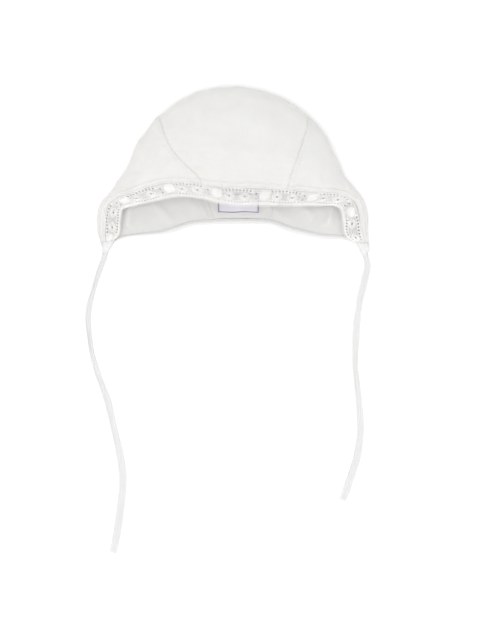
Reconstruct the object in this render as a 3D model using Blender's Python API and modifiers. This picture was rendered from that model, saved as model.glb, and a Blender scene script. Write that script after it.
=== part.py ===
"""A baby's bonnet of fine white cotton with a lace front band, lying on its back with its ties spread.

+X is to the wearer's left, +Y towards the top of the crown and +Z up, away from the surface
that the bonnet lies on. The origin is at the middle of the bonnet's base, without its ties.
"""
import math
from collections import namedtuple
from functools import lru_cache

import bmesh
import bpy
import numpy as np
from mathutils import Matrix, Vector
from mathutils.geometry import delaunay_2d_cdt

COLLECTION = "lace_trim_hat"

# Driving dimensions, in metres
HAT_WIDTH = 0.203
HAT_LENGTH = 0.120
CROWN_RISE = 0.046
FRONT_RISE = 0.027
FOLD_RADIUS = 0.0075
CLOTH = 0.0012
LACE_WIDTH = 0.014
LACE_THICKNESS = 0.0010
LACE_REPEAT = 0.0356
LACE_PLAIN_END = 0.0033
BINDING_WIDTH = 0.0040
BINDING_THICKNESS = 0.0016
LABEL_WIDTH = 0.0315
LABEL_HEIGHT = 0.0150
LABEL_THICKNESS = 0.0010
LABEL_OFF_CENTRE = 0.0040
LABEL_TO_BINDING = 0.0040
TIE_WIDTH = 0.0055
TIE_THICKNESS = 0.0012
WRINKLE_HEIGHT = 0.0030
GAP = 0.0003

# Shape of the crown between its sections
CROWN_SQUARENESS = 2.5
CREST_REACHED = 0.5
LACE_SHARE_AT_CORNER = 0.72

# Mesh density
COLUMNS_PER_SECTION = 2.5
TOP_ROWS = 11
FOLD_ROWS = 3
BACK_ROWS = 6
FEWEST_COLUMNS = 4
FINE_STEPS = 40
SEAM_PROBE = 0.05
CDT_INSIDE = 1
CDT_MERGE = 1e-7
TIE_STEP = 0.0070

# The bonnet from one tie corner over the crown to the other. Each row is one section: where the
# outline, the front edge and the neck edge lie, as shares of half the width and half the length,
# then the heights of the front edge and the crown and the radius of the outline's fold.
Section = namedtuple(
    "Section", "outline_x outline_y front_x front_y neck_x neck_y front_rise crown_rise fold"
)
SECTIONS = (
    Section(-0.97, -0.97, -0.89, -0.92, -0.88, -0.93, 0.18, 0.11, 0.32),
    Section(-1.00, -0.78, -0.84, -0.82, -0.79, -0.87, 0.25, 0.18, 0.36),
    Section(-1.00, -0.59, -0.83, -0.65, -0.68, -0.85, 0.34, 0.24, 0.42),
    Section(-0.97, -0.42, -0.81, -0.52, -0.60, -0.84, 0.44, 0.32, 0.48),
    Section(-0.89, -0.28, -0.73, -0.48, -0.51, -0.83, 0.56, 0.42, 0.56),
    Section(-0.80, -0.03, -0.57, -0.42, -0.40, -0.78, 0.81, 0.64, 0.68),
    Section(-0.69, 0.34, -0.40, -0.37, -0.30, -0.73, 0.98, 0.87, 0.80),
    Section(-0.54, 0.64, -0.24, -0.39, -0.19, -0.71, 1.01, 0.99, 0.92),
    Section(-0.29, 0.92, -0.10, -0.45, -0.07, -0.70, 1.02, 1.01, 1.00),
    Section(0.01, 1.00, 0.04, -0.48, 0.05, -0.70, 1.00, 1.00, 1.00),
    Section(0.32, 0.89, 0.18, -0.48, 0.17, -0.70, 0.97, 0.99, 1.00),
    Section(0.55, 0.64, 0.32, -0.48, 0.29, -0.72, 0.92, 0.94, 0.92),
    Section(0.70, 0.33, 0.46, -0.48, 0.40, -0.79, 0.83, 0.82, 0.80),
    Section(0.80, -0.05, 0.61, -0.48, 0.52, -0.84, 0.70, 0.62, 0.68),
    Section(0.90, -0.28, 0.73, -0.47, 0.64, -0.88, 0.54, 0.43, 0.56),
    Section(0.97, -0.42, 0.79, -0.52, 0.75, -0.89, 0.42, 0.32, 0.48),
    Section(1.00, -0.60, 0.81, -0.66, 0.83, -0.90, 0.33, 0.24, 0.42),
    Section(1.00, -0.80, 0.83, -0.84, 0.91, -0.94, 0.25, 0.18, 0.36),
    Section(1.00, -1.00, 0.93, -0.96, 0.94, -0.98, 0.18, 0.11, 0.32),
)

# The two seams that join the centre panel to the sides: the section number they follow at the
# front edge, the middle of the crown, the outline, the middle of the back and the neck edge.
Seam = namedtuple("Seam", "front crown outline back neck")
LEFT_SEAM = Seam(7.2, 6.6, 7.0, 7.2, 7.3)
RIGHT_SEAM = Seam(10.9, 11.2, 11.0, 10.8, 10.7)

# Soft folds in the crown: their ends and width as shares of half the width and half the length,
# and their height as a share of WRINKLE_HEIGHT. A dent is a fold with a negative height.
Wrinkle = namedtuple("Wrinkle", "start_x start_y end_x end_y width height")
WRINKLES = (
    Wrinkle(-0.30, -0.17, 0.28, -0.17, 0.05, 0.45),
    Wrinkle(0.00, 0.36, 0.22, 0.20, 0.10, -0.80),
    Wrinkle(-0.20, 0.50, 0.18, 0.55, 0.14, 0.50),
    Wrinkle(-0.25, 0.17, -0.14, 0.05, 0.06, -0.45),
    Wrinkle(-0.62, 0.10, -0.74, -0.28, 0.08, 0.60),
    Wrinkle(-0.48, 0.08, -0.62, -0.24, 0.07, -0.55),
    Wrinkle(0.58, 0.10, 0.70, -0.22, 0.08, 0.65),
    Wrinkle(0.70, -0.38, 0.86, -0.24, 0.06, -0.90),
    Wrinkle(0.44, 0.40, 0.50, 0.12, 0.09, -0.50),
)

# Lace motif: one repeat along the band. Places and half sizes are shares of the repeat's length
# and of the band's width, measured from the free edge.
Opening = namedtuple("Opening", "along across half_long half_wide sides")
EYELETS = (
    Opening(0.26, 0.46, 0.066, 0.120, 8),
    Opening(0.58, 0.46, 0.066, 0.120, 8),
    Opening(0.84, 0.60, 0.030, 0.080, 6),
    Opening(0.84, 0.34, 0.030, 0.080, 6),
)
LadderRow = namedtuple("LadderRow", "across half_wide count first last half_long")
LADDERS = (
    LadderRow(0.78, 0.085, 6, 0.17, 0.67, 0.024),
    LadderRow(0.16, 0.075, 6, 0.17, 0.67, 0.024),
)
LACE_MESH_STEP = 0.0034
LACE_HOLE_MARGIN = 0.0007

# The ties' middle lines, from inside the corner to the free end, in metres. lifted is 1 where
# the tie lies on the end of the binding and 0 where it lies on the ground.
TiePoint = namedtuple("TiePoint", "x y lifted")
LEFT_TIE_ROUTE = (
    TiePoint(-0.0945, -0.0512, 1), TiePoint(-0.0946, -0.0575, 1), TiePoint(-0.0970, -0.0675, 0),
    TiePoint(-0.1005, -0.0773, 0), TiePoint(-0.1046, -0.0893, 0), TiePoint(-0.1078, -0.1028, 0),
    TiePoint(-0.1088, -0.1140, 0), TiePoint(-0.1077, -0.1245, 0), TiePoint(-0.1055, -0.1380, 0),
    TiePoint(-0.1020, -0.1520, 0), TiePoint(-0.0980, -0.1635, 0), TiePoint(-0.0938, -0.1763, 0),
    TiePoint(-0.0901, -0.1928, 0), TiePoint(-0.0860, -0.2100, 0), TiePoint(-0.0831, -0.2265, 0),
    TiePoint(-0.0829, -0.2400, 0), TiePoint(-0.0846, -0.2565, 0), TiePoint(-0.0869, -0.2730, 0),
    TiePoint(-0.0900, -0.2885, 0),
)
RIGHT_TIE_ROUTE = (
    TiePoint(0.0965, -0.0535, 1), TiePoint(0.0974, -0.0600, 1), TiePoint(0.1006, -0.0728, 0),
    TiePoint(0.0988, -0.0840, 0), TiePoint(0.0955, -0.0975, 0), TiePoint(0.0932, -0.1125, 0),
    TiePoint(0.0921, -0.1290, 0), TiePoint(0.0918, -0.1463, 0), TiePoint(0.0930, -0.1610, 0),
    TiePoint(0.0945, -0.1763, 0), TiePoint(0.0953, -0.1898, 0), TiePoint(0.0950, -0.2033, 0),
    TiePoint(0.0930, -0.2165, 0), TiePoint(0.0896, -0.2280, 0), TiePoint(0.0855, -0.2400, 0),
    TiePoint(0.0821, -0.2490, 0),
)
# A tie's width along it, as shares of its length and of TIE_WIDTH: gathered and wide where it
# is sewn in, narrow where it is rolled over
TieWidth = namedtuple("TieWidth", "along width")
LEFT_TIE_WIDTHS = (
    TieWidth(0.00, 0.60), TieWidth(0.03, 0.62), TieWidth(0.06, 1.05), TieWidth(0.17, 0.60),
    TieWidth(0.30, 0.75), TieWidth(0.40, 0.65), TieWidth(0.55, 0.85), TieWidth(0.75, 1.00),
    TieWidth(1.00, 1.00),
)
RIGHT_TIE_WIDTHS = (
    TieWidth(0.00, 0.60), TieWidth(0.05, 0.62), TieWidth(0.10, 0.50), TieWidth(0.20, 0.75),
    TieWidth(0.38, 1.00), TieWidth(0.58, 0.55), TieWidth(0.68, 0.85), TieWidth(0.85, 0.95),
    TieWidth(1.00, 0.90),
)

Finish = namedtuple("Finish", "colour roughness")
COTTON = Finish((0.86, 0.86, 0.85), 0.85)
LACE_COTTON = Finish((0.84, 0.84, 0.82), 0.80)
SATIN = Finish((0.78, 0.76, 0.85), 0.45)

# Places across the cloth, from 0 at the front edge over the crown and under to the neck
OUTLINE_FOLD = 1.0
BACK_LAYER = 2.0
NECK_EDGE = 3.0

SECTION_SHARES = np.array(SECTIONS)
LAST_SECTION = len(SECTIONS) - 1
MIDDLE_SECTION = LAST_SECTION / 2


def smooth_through(rows, at):
    """The values between a table's rows, on a smooth curve that passes through each row."""
    start = int(min(max(math.floor(at), 0), len(rows) - 2))
    share = at - start
    before = rows[start - 1] if start > 0 else 2 * rows[0] - rows[1]
    after = rows[start + 2] if start + 2 < len(rows) else 2 * rows[-1] - rows[-2]
    here, there = rows[start], rows[start + 1]
    slope_here, slope_there = (there - before) / 2, (after - here) / 2
    square, cube = share**2, share**3
    return (
        (2 * cube - 3 * square + 1) * here
        + (cube - 2 * square + share) * slope_here
        + (3 * square - 2 * cube) * there
        + (cube - square) * slope_there
    )


def outline_middle():
    """Where the middle of the outline's own box lies in the section table's shares."""
    places = np.linspace(0, LAST_SECTION, LAST_SECTION * FINE_STEPS)
    outline = np.array([smooth_through(SECTION_SHARES, at)[:2] for at in places])
    return (outline.min(axis=0) + outline.max(axis=0)) / 2


MIDDLE = outline_middle()


def plan(shares):
    """A place in metres from shares of half the width and half the length."""
    return (np.asarray(shares) - MIDDLE) * (HAT_WIDTH / 2, HAT_LENGTH / 2)


@lru_cache(maxsize=None)
def section_at(at):
    """The outline, front and neck points and the heights of the section numbered at."""
    row = Section(*smooth_through(SECTION_SHARES, at))
    return (
        plan((row.outline_x, row.outline_y)),
        plan((row.front_x, row.front_y)),
        plan((row.neck_x, row.neck_y)),
        row.front_rise * FRONT_RISE,
        row.crown_rise * CROWN_RISE,
        row.fold * FOLD_RADIUS,
    )


def smooth_step(share):
    share = min(max(share, 0.0), 1.0)
    return share * share * (3 - 2 * share)


def wrinkle_lines():
    """Each fold's start, run, width and height in metres."""
    starts = plan([(wrinkle.start_x, wrinkle.start_y) for wrinkle in WRINKLES])
    ends = plan([(wrinkle.end_x, wrinkle.end_y) for wrinkle in WRINKLES])
    widths = np.array([wrinkle.width for wrinkle in WRINKLES]) * HAT_WIDTH / 2
    heights = np.array([wrinkle.height for wrinkle in WRINKLES]) * WRINKLE_HEIGHT
    return starts, ends - starts, widths, heights


WRINKLE_LINES = wrinkle_lines()


def wrinkle_height(place):
    """How far the folds lift the crown at a place in plan."""
    starts, runs, widths, heights = WRINKLE_LINES
    away = place - starts
    shares = np.clip((away * runs).sum(axis=1) / (runs * runs).sum(axis=1), 0, 1)
    aside = np.linalg.norm(away - shares[:, None] * runs, axis=1)
    return float((heights * np.exp(-((aside / widths) ** 2))).sum())


def surface(at, across):
    """A point of the outer surface. across runs from 0 at the front edge to OUTLINE_FOLD at the
    outline, to BACK_LAYER where the cloth meets the ground, to NECK_EDGE."""
    outline, front, neck, front_rise, crown_rise, fold = section_at(at)
    if across <= OUTLINE_FOLD:
        angle = across * math.pi / 2
        reach = math.sin(angle) ** (2 / CROWN_SQUARENESS)
        drop = max(math.cos(angle), 0.0) ** (2 / CROWN_SQUARENESS)
        place = front + (outline - front) * reach
        crest = front_rise + (crown_rise - front_rise) * smooth_step(reach / CREST_REACHED)
        height = fold + (crest - fold) * drop + wrinkle_height(place) * drop**2
        return np.array((place[0], place[1], height))
    inward = (neck - outline) / np.linalg.norm(neck - outline)
    if across <= BACK_LAYER:
        angle = (across - OUTLINE_FOLD) * math.pi / 2
        place = outline + inward * fold * (1 - math.cos(angle))
        return np.array((place[0], place[1], fold * (1 - math.sin(angle))))
    share = across - BACK_LAYER
    start = outline + inward * fold
    place = start + (neck - start) * share
    return np.array((place[0], place[1], 0.0))


@lru_cache(maxsize=None)
def distance_table(at):
    """Places over the top of a section and how far from the front edge each lies."""
    across = np.linspace(0.0, OUTLINE_FOLD, FINE_STEPS)
    points = np.array([surface(at, value) for value in across])
    steps = np.linalg.norm(np.diff(points, axis=0), axis=1)
    return across, np.concatenate(([0.0], np.cumsum(steps)))


def lace_width_at(at):
    """The band is whole along the front and narrows into the tie corners."""
    outline, front = section_at(at)[:2]
    room = np.linalg.norm(outline - front) * LACE_SHARE_AT_CORNER
    return min(LACE_WIDTH, room)


def across_at_distance(at, distance):
    across, along = distance_table(at)
    return float(np.interp(distance, along, across))


def across_before_neck(at, distance):
    """Where a section lies that far short of the neck edge."""
    back = np.linalg.norm(surface(at, NECK_EDGE) - surface(at, BACK_LAYER))
    return NECK_EDGE - distance / back


def new_object(name, mesh, finish):
    """An object in the bonnet's collection, with a material of its own."""
    material = bpy.data.materials.new(name)
    material.use_nodes = True
    shader = material.node_tree.nodes["Principled BSDF"]
    shader.inputs["Base Color"].default_value = (*finish.colour, 1.0)
    shader.inputs["Roughness"].default_value = finish.roughness
    shader.inputs["Metallic"].default_value = 0.0
    material.diffuse_color = (*finish.colour, 1.0)
    mesh.materials.clear()
    mesh.materials.append(material)
    obj = bpy.data.objects.new(name, mesh)
    bpy.data.collections[COLLECTION].objects.link(obj)
    return obj


def thicken(obj, thickness):
    """Gives an outer surface its wall, which goes inward."""
    modifier = obj.modifiers.new("wall", "SOLIDIFY")
    modifier.thickness = thickness
    modifier.offset = -1.0
    modifier.use_even_offset = False


def grid_mesh(name, grid, closed=False):
    """Four-sided faces between neighbouring points of a grid of rows."""
    rows, columns = len(grid), len(grid[0])
    shape = bmesh.new()
    verts = [[shape.verts.new(point) for point in row] for row in grid]
    for row in range(rows - 1):
        for column in range(columns if closed else columns - 1):
            beside = (column + 1) % columns
            here, above = verts[row], verts[row + 1]
            shape.faces.new((here[column], here[beside], above[beside], above[column]))
    if closed:
        shape.faces.new(list(reversed(verts[0])))
        shape.faces.new(verts[-1])
        bmesh.ops.recalc_face_normals(shape, faces=shape.faces)
    mesh = bpy.data.meshes.new(name)
    shape.to_mesh(mesh)
    shape.free()
    return mesh


def seam_at(seam, across):
    """The section number that a seam follows at one place across the cloth."""
    knots = (0.0, OUTLINE_FOLD / 2, OUTLINE_FOLD, (BACK_LAYER + NECK_EDGE) / 2, NECK_EDGE)
    return float(np.interp(across, knots, seam))


def rows_across():
    """Rows from the lace to the neck binding, as shares that each column fits to its own ends."""
    top = np.linspace(0, OUTLINE_FOLD, TOP_ROWS + 1)
    fold = np.linspace(OUTLINE_FOLD, BACK_LAYER, FOLD_ROWS + 1)[1:]
    back = np.linspace(BACK_LAYER, NECK_EDGE, BACK_ROWS + 1)[1:]
    return np.concatenate((top, fold, back))


def fitted(at, row):
    """A row's place at one section, between the lace and the binding and clear of both."""
    first = across_at_distance(at, lace_width_at(at) + GAP)
    last = across_before_neck(at, BINDING_WIDTH + GAP)
    if row <= OUTLINE_FOLD:
        return first + (OUTLINE_FOLD - first) * row / OUTLINE_FOLD
    if row <= BACK_LAYER:
        return row
    return BACK_LAYER + (last - BACK_LAYER) * (row - BACK_LAYER)


def columns_at(row, low_edge, high_edge):
    """The section numbers of a panel's columns at one row."""
    sections = high_edge(OUTLINE_FOLD) - low_edge(OUTLINE_FOLD)
    columns = max(FEWEST_COLUMNS, round(sections * COLUMNS_PER_SECTION))
    return np.linspace(low_edge(row), high_edge(row), columns + 1)


def panel(name, low_edge, high_edge):
    """One panel of the crown between two lines of the surface."""
    grid = [
        [surface(at, fitted(at, row)) for at in columns_at(row, low_edge, high_edge)]
        for row in rows_across()
    ]
    obj = new_object(name, grid_mesh(name, grid), COTTON)
    obj.data.shade_smooth()
    thicken(obj, CLOTH)
    return obj


def half_gap_in_sections(at, row):
    """Half the seam's gap at one place along it, counted in section numbers."""
    before = surface(at - SEAM_PROBE, fitted(at, row))
    after = surface(at + SEAM_PROBE, fitted(at, row))
    return GAP * SEAM_PROBE / np.linalg.norm(after - before)


def seam_side(seam, side):
    """One panel's own edge along a seam, half the gap to its side."""
    def edge(row):
        at = seam_at(seam, row)
        return at + side * half_gap_in_sections(at, row)
    return edge


def panel_edges():
    """Each panel's name and the two lines that it lies between."""
    return (
        ("side_panel_left", lambda across: 0.0, seam_side(LEFT_SEAM, -1)),
        ("crown_center_panel", seam_side(LEFT_SEAM, 1), seam_side(RIGHT_SEAM, -1)),
        ("side_panel_right", seam_side(RIGHT_SEAM, 1), lambda across: float(LAST_SECTION)),
    )


def make_panels():
    for name, low_edge, high_edge in panel_edges():
        panel(name, low_edge, high_edge)


def oval(along, across, half_long, half_wide, sides):
    return [
        (
            along + half_long * math.cos((side + 0.5) * math.tau / sides),
            across + half_wide * math.sin((side + 0.5) * math.tau / sides),
        )
        for side in range(sides)
    ]


def lace_openings(length):
    """Every opening of the flat band, as loops of points in metres along and across it. The
    pattern repeats from one end, and an opening that would reach the other end is left out."""
    loops = []
    for start in np.arange(LACE_PLAIN_END, length, LACE_REPEAT):
        for eyelet in EYELETS:
            loops.append(
                oval(
                    start + eyelet.along * LACE_REPEAT,
                    eyelet.across * LACE_WIDTH,
                    eyelet.half_long * LACE_REPEAT,
                    eyelet.half_wide * LACE_WIDTH,
                    eyelet.sides,
                )
            )
        for ladder in LADDERS:
            for share in np.linspace(ladder.first, ladder.last, ladder.count):
                middle = start + float(share) * LACE_REPEAT
                long, wide = ladder.half_long * LACE_REPEAT, ladder.half_wide * LACE_WIDTH
                low, high = ladder.across * LACE_WIDTH - wide, ladder.across * LACE_WIDTH + wide
                left, right = middle - long, middle + long
                loops.append([(left, low), (right, low), (right, high), (left, high)])
    end = length - LACE_PLAIN_END
    return [loop for loop in loops if max(along for along, _ in loop) < end]


def inside(loop, point, margin=0.0):
    """Whether a point lies in a convex loop, or within the margin of it."""
    for index, (x, y) in enumerate(loop):
        next_x, next_y = loop[(index + 1) % len(loop)]
        run = math.hypot(next_x - x, next_y - y)
        outside = ((point[0] - x) * (next_y - y) - (point[1] - y) * (next_x - x)) / run
        if outside > margin:
            return False
    return True


def flat_lace(length, joins):
    """Triangles of the flat band round its openings. joins are the places along its sewn edge
    where the panels' columns meet it."""
    loops = lace_openings(length)
    steps = round(length / LACE_MESH_STEP)
    border = [(length * step / steps, 0.0) for step in range(steps + 1)]
    border += [(join, LACE_WIDTH) for join in reversed(joins)]
    points, edges = [], []
    for loop in [border, *loops]:
        first = len(points)
        points += loop
        edges += [(first + index, first + (index + 1) % len(loop)) for index in range(len(loop))]
    rows = round(LACE_WIDTH / LACE_MESH_STEP)
    for row in range(1, rows):
        for step in range(1, steps):
            point = (length * step / steps, LACE_WIDTH * row / rows)
            if not any(inside(loop, point, LACE_HOLE_MARGIN) for loop in loops):
                points.append(point)
    result = delaunay_2d_cdt([Vector(point) for point in points], edges, [], CDT_INSIDE, CDT_MERGE)
    verts, faces = result[0], result[2]
    kept = []
    for face in faces:
        centre = sum((verts[index] for index in face), Vector((0, 0))) / len(face)
        if not any(inside(loop, centre) for loop in loops):
            kept.append(face)
    return verts, kept


def front_edge_table():
    """Section numbers along the front and how far along the band's middle each lies."""
    places = np.linspace(0, LAST_SECTION, LAST_SECTION * FINE_STEPS // 4)
    middles = [
        surface(at, across_at_distance(at, lace_width_at(at) / 2)) for at in places
    ]
    steps = np.linalg.norm(np.diff(np.array(middles), axis=0), axis=1)
    return places, np.concatenate(([0.0], np.cumsum(steps)))


def make_lace():
    places, along = front_edge_table()
    joins = []
    for _, low_edge, high_edge in panel_edges():
        columns = columns_at(0.0, low_edge, high_edge)
        joins += [float(np.interp(at, places, along)) for at in columns]
    verts, faces = flat_lace(float(along[-1]), joins)
    shape = bmesh.new()
    placed = []
    for vert in verts:
        at = float(np.interp(vert.x, along, places))
        distance = lace_width_at(at) * vert.y / LACE_WIDTH
        placed.append(shape.verts.new(surface(at, across_at_distance(at, distance))))
    for face in faces:
        shape.faces.new([placed[index] for index in reversed(face)])
    bmesh.ops.recalc_face_normals(shape, faces=shape.faces)
    if sum(face.normal.z * face.calc_area() for face in shape.faces) < 0:
        bmesh.ops.reverse_faces(shape, faces=shape.faces)
    mesh = bpy.data.meshes.new("lace_trim")
    shape.to_mesh(mesh)
    shape.free()
    obj = new_object("lace_trim", mesh, LACE_COTTON)
    thicken(obj, LACE_THICKNESS)


def make_neck_binding():
    """A folded strip that closes the back panels' neck edge."""
    corner = BINDING_THICKNESS / 4
    places = np.linspace(0, LAST_SECTION, round(LAST_SECTION * COLUMNS_PER_SECTION) + 1)
    grid = []
    for at in places:
        edge = surface(at, NECK_EDGE)
        inner = surface(at, across_before_neck(at, BINDING_WIDTH))
        side = (edge - inner) / np.linalg.norm(edge - inner)
        up = np.array((0, 0, BINDING_THICKNESS))
        rise = np.array((0, 0, corner))
        grid.append(
            [
                inner,
                edge - side * corner,
                edge + rise,
                edge + up - rise,
                edge + up - side * corner,
                inner + up,
            ]
        )
    new_object("neck_binding", grid_mesh("neck_binding", grid, closed=True), COTTON)


def make_label():
    """A bare woven label sewn inside the back, under the front edge."""
    neck_y = surface(MIDDLE_SECTION, NECK_EDGE)[1]
    bpy.ops.mesh.primitive_cube_add(size=1.0)
    cube = bpy.context.active_object
    mesh = cube.data
    mesh.transform(Matrix.Diagonal((LABEL_WIDTH, LABEL_HEIGHT, LABEL_THICKNESS, 1.0)))
    bpy.data.objects.remove(cube)
    label = new_object("label", mesh, SATIN)
    label.location = (
        LABEL_OFF_CENTRE,
        neck_y + BINDING_WIDTH + LABEL_TO_BINDING + LABEL_HEIGHT / 2,
        CLOTH + GAP + LABEL_THICKNESS / 2,
    )


def tie_frames(route):
    """Evenly spaced points of the smooth curve through a route, and the way it runs at each."""
    table = np.array(route, float)
    spots = np.linspace(0, len(route) - 1, len(route) * FINE_STEPS)
    fine = np.array([smooth_through(table, spot) for spot in spots])
    fine[:, 2] = TIE_THICKNESS / 2 + np.clip(fine[:, 2], 0, 1) * (BINDING_THICKNESS + GAP)
    along = np.concatenate(([0.0], np.cumsum(np.linalg.norm(np.diff(fine, axis=0), axis=1))))
    count = round(along[-1] / TIE_STEP)
    marks = np.linspace(0, along[-1], count + 1)
    points = np.stack([np.interp(marks, along, fine[:, axis]) for axis in range(3)], axis=1)
    ways = np.gradient(points, axis=0)
    ways /= np.linalg.norm(ways, axis=1)[:, None]
    return points, ways, marks / along[-1]


def make_tie(name, route, widths):
    """A flat tie of folded cloth that lies on the ground from its corner to its free end."""
    points, ways, shares = tie_frames(route)
    table = np.array(widths)
    grid = []
    for point, way, share in zip(points, ways, shares):
        half = TIE_WIDTH / 2 * float(np.interp(share, table[:, 0], table[:, 1]))
        side = np.cross(way, (0, 0, 1))
        side *= half / np.linalg.norm(side)
        up = np.array((0, 0, TIE_THICKNESS / 2))
        grid.append([point - side - up, point + side - up, point + side + up, point - side + up])
    new_object(name, grid_mesh(name, grid, closed=True), COTTON)


def main():
    for obj in list(bpy.data.objects):
        bpy.data.objects.remove(obj, do_unlink=True)
    collection = bpy.data.collections.new(COLLECTION)
    bpy.context.scene.collection.children.link(collection)
    make_panels()
    make_lace()
    make_neck_binding()
    make_label()
    make_tie("tie_left", LEFT_TIE_ROUTE, LEFT_TIE_WIDTHS)
    make_tie("tie_right", RIGHT_TIE_ROUTE, RIGHT_TIE_WIDTHS)


main()
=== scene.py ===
import math
from collections import namedtuple
from itertools import product

import bpy
import numpy as np
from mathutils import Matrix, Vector


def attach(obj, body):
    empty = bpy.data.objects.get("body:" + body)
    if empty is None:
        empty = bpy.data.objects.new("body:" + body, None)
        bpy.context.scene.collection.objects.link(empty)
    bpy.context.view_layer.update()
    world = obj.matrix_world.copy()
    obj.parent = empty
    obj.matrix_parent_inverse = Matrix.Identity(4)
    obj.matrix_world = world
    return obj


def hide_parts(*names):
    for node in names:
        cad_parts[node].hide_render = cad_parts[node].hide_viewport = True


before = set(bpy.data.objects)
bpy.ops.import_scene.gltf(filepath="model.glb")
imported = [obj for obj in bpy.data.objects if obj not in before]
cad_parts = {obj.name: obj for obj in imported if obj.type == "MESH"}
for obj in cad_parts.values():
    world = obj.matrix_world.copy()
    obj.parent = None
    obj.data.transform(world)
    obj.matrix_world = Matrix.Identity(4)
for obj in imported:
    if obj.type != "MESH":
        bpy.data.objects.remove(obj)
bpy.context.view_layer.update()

UP = np.array((0.0, 0.0, 1.0))


def table_of(kind, *rows):
    """A table whose values are read by name."""
    return [kind(*row) for row in rows]


# Driving sizes in metres, then an exponent and two shares, the same as the solids'
HAT_WIDTH = 0.203
HAT_LENGTH = 0.120
CROWN_RISE = 0.046
FRONT_RISE = 0.027
FOLD_RADIUS = 0.0075
LACE_WIDTH = 0.014
LACE_REPEAT = 0.0356
LACE_PLAIN_END = 0.0033
BINDING_WIDTH = 0.0040
BINDING_THICKNESS = 0.0016
LABEL_WIDTH = 0.0315
LABEL_HEIGHT = 0.0150
LABEL_OFF_CENTRE = 0.0040
LABEL_TO_BINDING = 0.0040
TIE_WIDTH = 0.0055
WRINKLE_HEIGHT = 0.0030
GAP = 0.0003
CROWN_SQUARENESS = 2.5
CREST_REACHED = 0.5
LACE_SHARE_AT_CORNER = 0.72

# Cloth, seams and stitches
CLOTH = 0.0009
SEAM_ALLOWANCE = 0.0032
SEAM_RIDGE = 0.00022
SEAM_VALLEY = 0.00018
SEAM_STITCH_LINES = (0.0010, 0.0034)
STITCHES_PAST_LACE = 0.0006
HEM_WIDTH = 0.0036
HEM_STITCH_LINES = (0.0007, HEM_WIDTH - 0.0004)
HEM_RIDGE = 0.00040
PUCKER_PITCH = 0.0056
PUCKER_HEIGHT = 0.00019
SCALLOP_PITCH = 0.0150
SCALLOP_HEIGHT = 0.00036
LARGE_CRUMPLE = 0.0190
LARGE_CRUMPLE_HEIGHT = 0.00070
SMALL_CRUMPLE = 0.0085
SMALL_CRUMPLE_HEIGHT = 0.00032
SEAM_SOFTNESS = 0.0006
SEAM_VALLEY_WIDTH = 0.0008
SEAM_DOUBLING = 0.00045
HEM_VALLEY = 0.00025
HEM_VALLEY_WIDTH = 0.0007
HEM_DOUBLING = 0.0004
PUCKER_REACH = 0.0055
GATHER_PITCH = 0.0062
GATHER_REACH = 0.0085
METRES_PAST_OUTLINE = 0.045
CLOTH_OFF_FLOOR = 0.00002

Stitch = namedtuple("Stitch", "pitch length radius")
SEAM_STITCH = Stitch(0.0025, 0.0018, 0.00017)
HEM_STITCH = Stitch(0.0024, 0.0017, 0.00017)
CORNER_STITCH = Stitch(0.0017, 0.0012, 0.00015)
LABEL_STITCH = Stitch(0.0022, 0.0015, 0.00014)
TIE_EDGE_STITCH = Stitch(0.0026, 0.0018, 0.00014)
TIE_END_STITCH = Stitch(0.0013, 0.0009, 0.00010)

# Lace threads
NET_ROW = 0.00080
NET_CELL = 0.0013
NET_RADIUS = 0.00025
CORD_RADIUS = 0.00030
BLOB_RADIUS = 0.0036
BLOB_THREAD = 0.00021
RING_RADIUS = 0.00027
LOZENGE = 1.25
EYELET_LONG = 0.0031
EYELET_WIDE = 0.0022
EYELET_INNER = 0.48
BAR_RADIUS = 0.00026
PICOT_PITCH = 0.0019
PICOT_REACH = 0.0011
EDGE_WAVE = 0.00055
# The band's middle layer under the cloth's outer face, and how far its threads stand out of it
LACE_MIDDLE = -0.00045
NET_LIFT = 0.00010
RING_LIFT = 0.00012
SECOND_RING_LIFT = 0.00010
SPOKE_LIFT = 0.00016
BLOB_DOME = 0.00050
BLOB_CROSS_LIFT = 0.00022
BAR_LIFT = 0.00014
BAR_SIDE_LIFT = 0.00006
CORD_LIFT = 0.00022
EDGE_LIFT = 0.00010

# Ties
TIE_CLOTH = 0.00080
TIE_RING_STEP = 0.0007
TIE_SMOOTHING = 15
TIE_SIDE_STEPS = 11
TIE_LEAN = 0.22
TIE_LEAN_LENGTH = 0.021
TIE_RIPPLE = 0.00012
TIE_STITCH_INSET = 0.0008
TIE_OFF_FLOOR = 0.00005

# The photograph's view: straight down on the surface that the hat lies on
VIEW_CENTRE = (0.00525, -0.1140)
VIEW_LONG_SIDE = 0.480
CAMERA_HEIGHT = 2.2
SENSOR = 36.0

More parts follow.
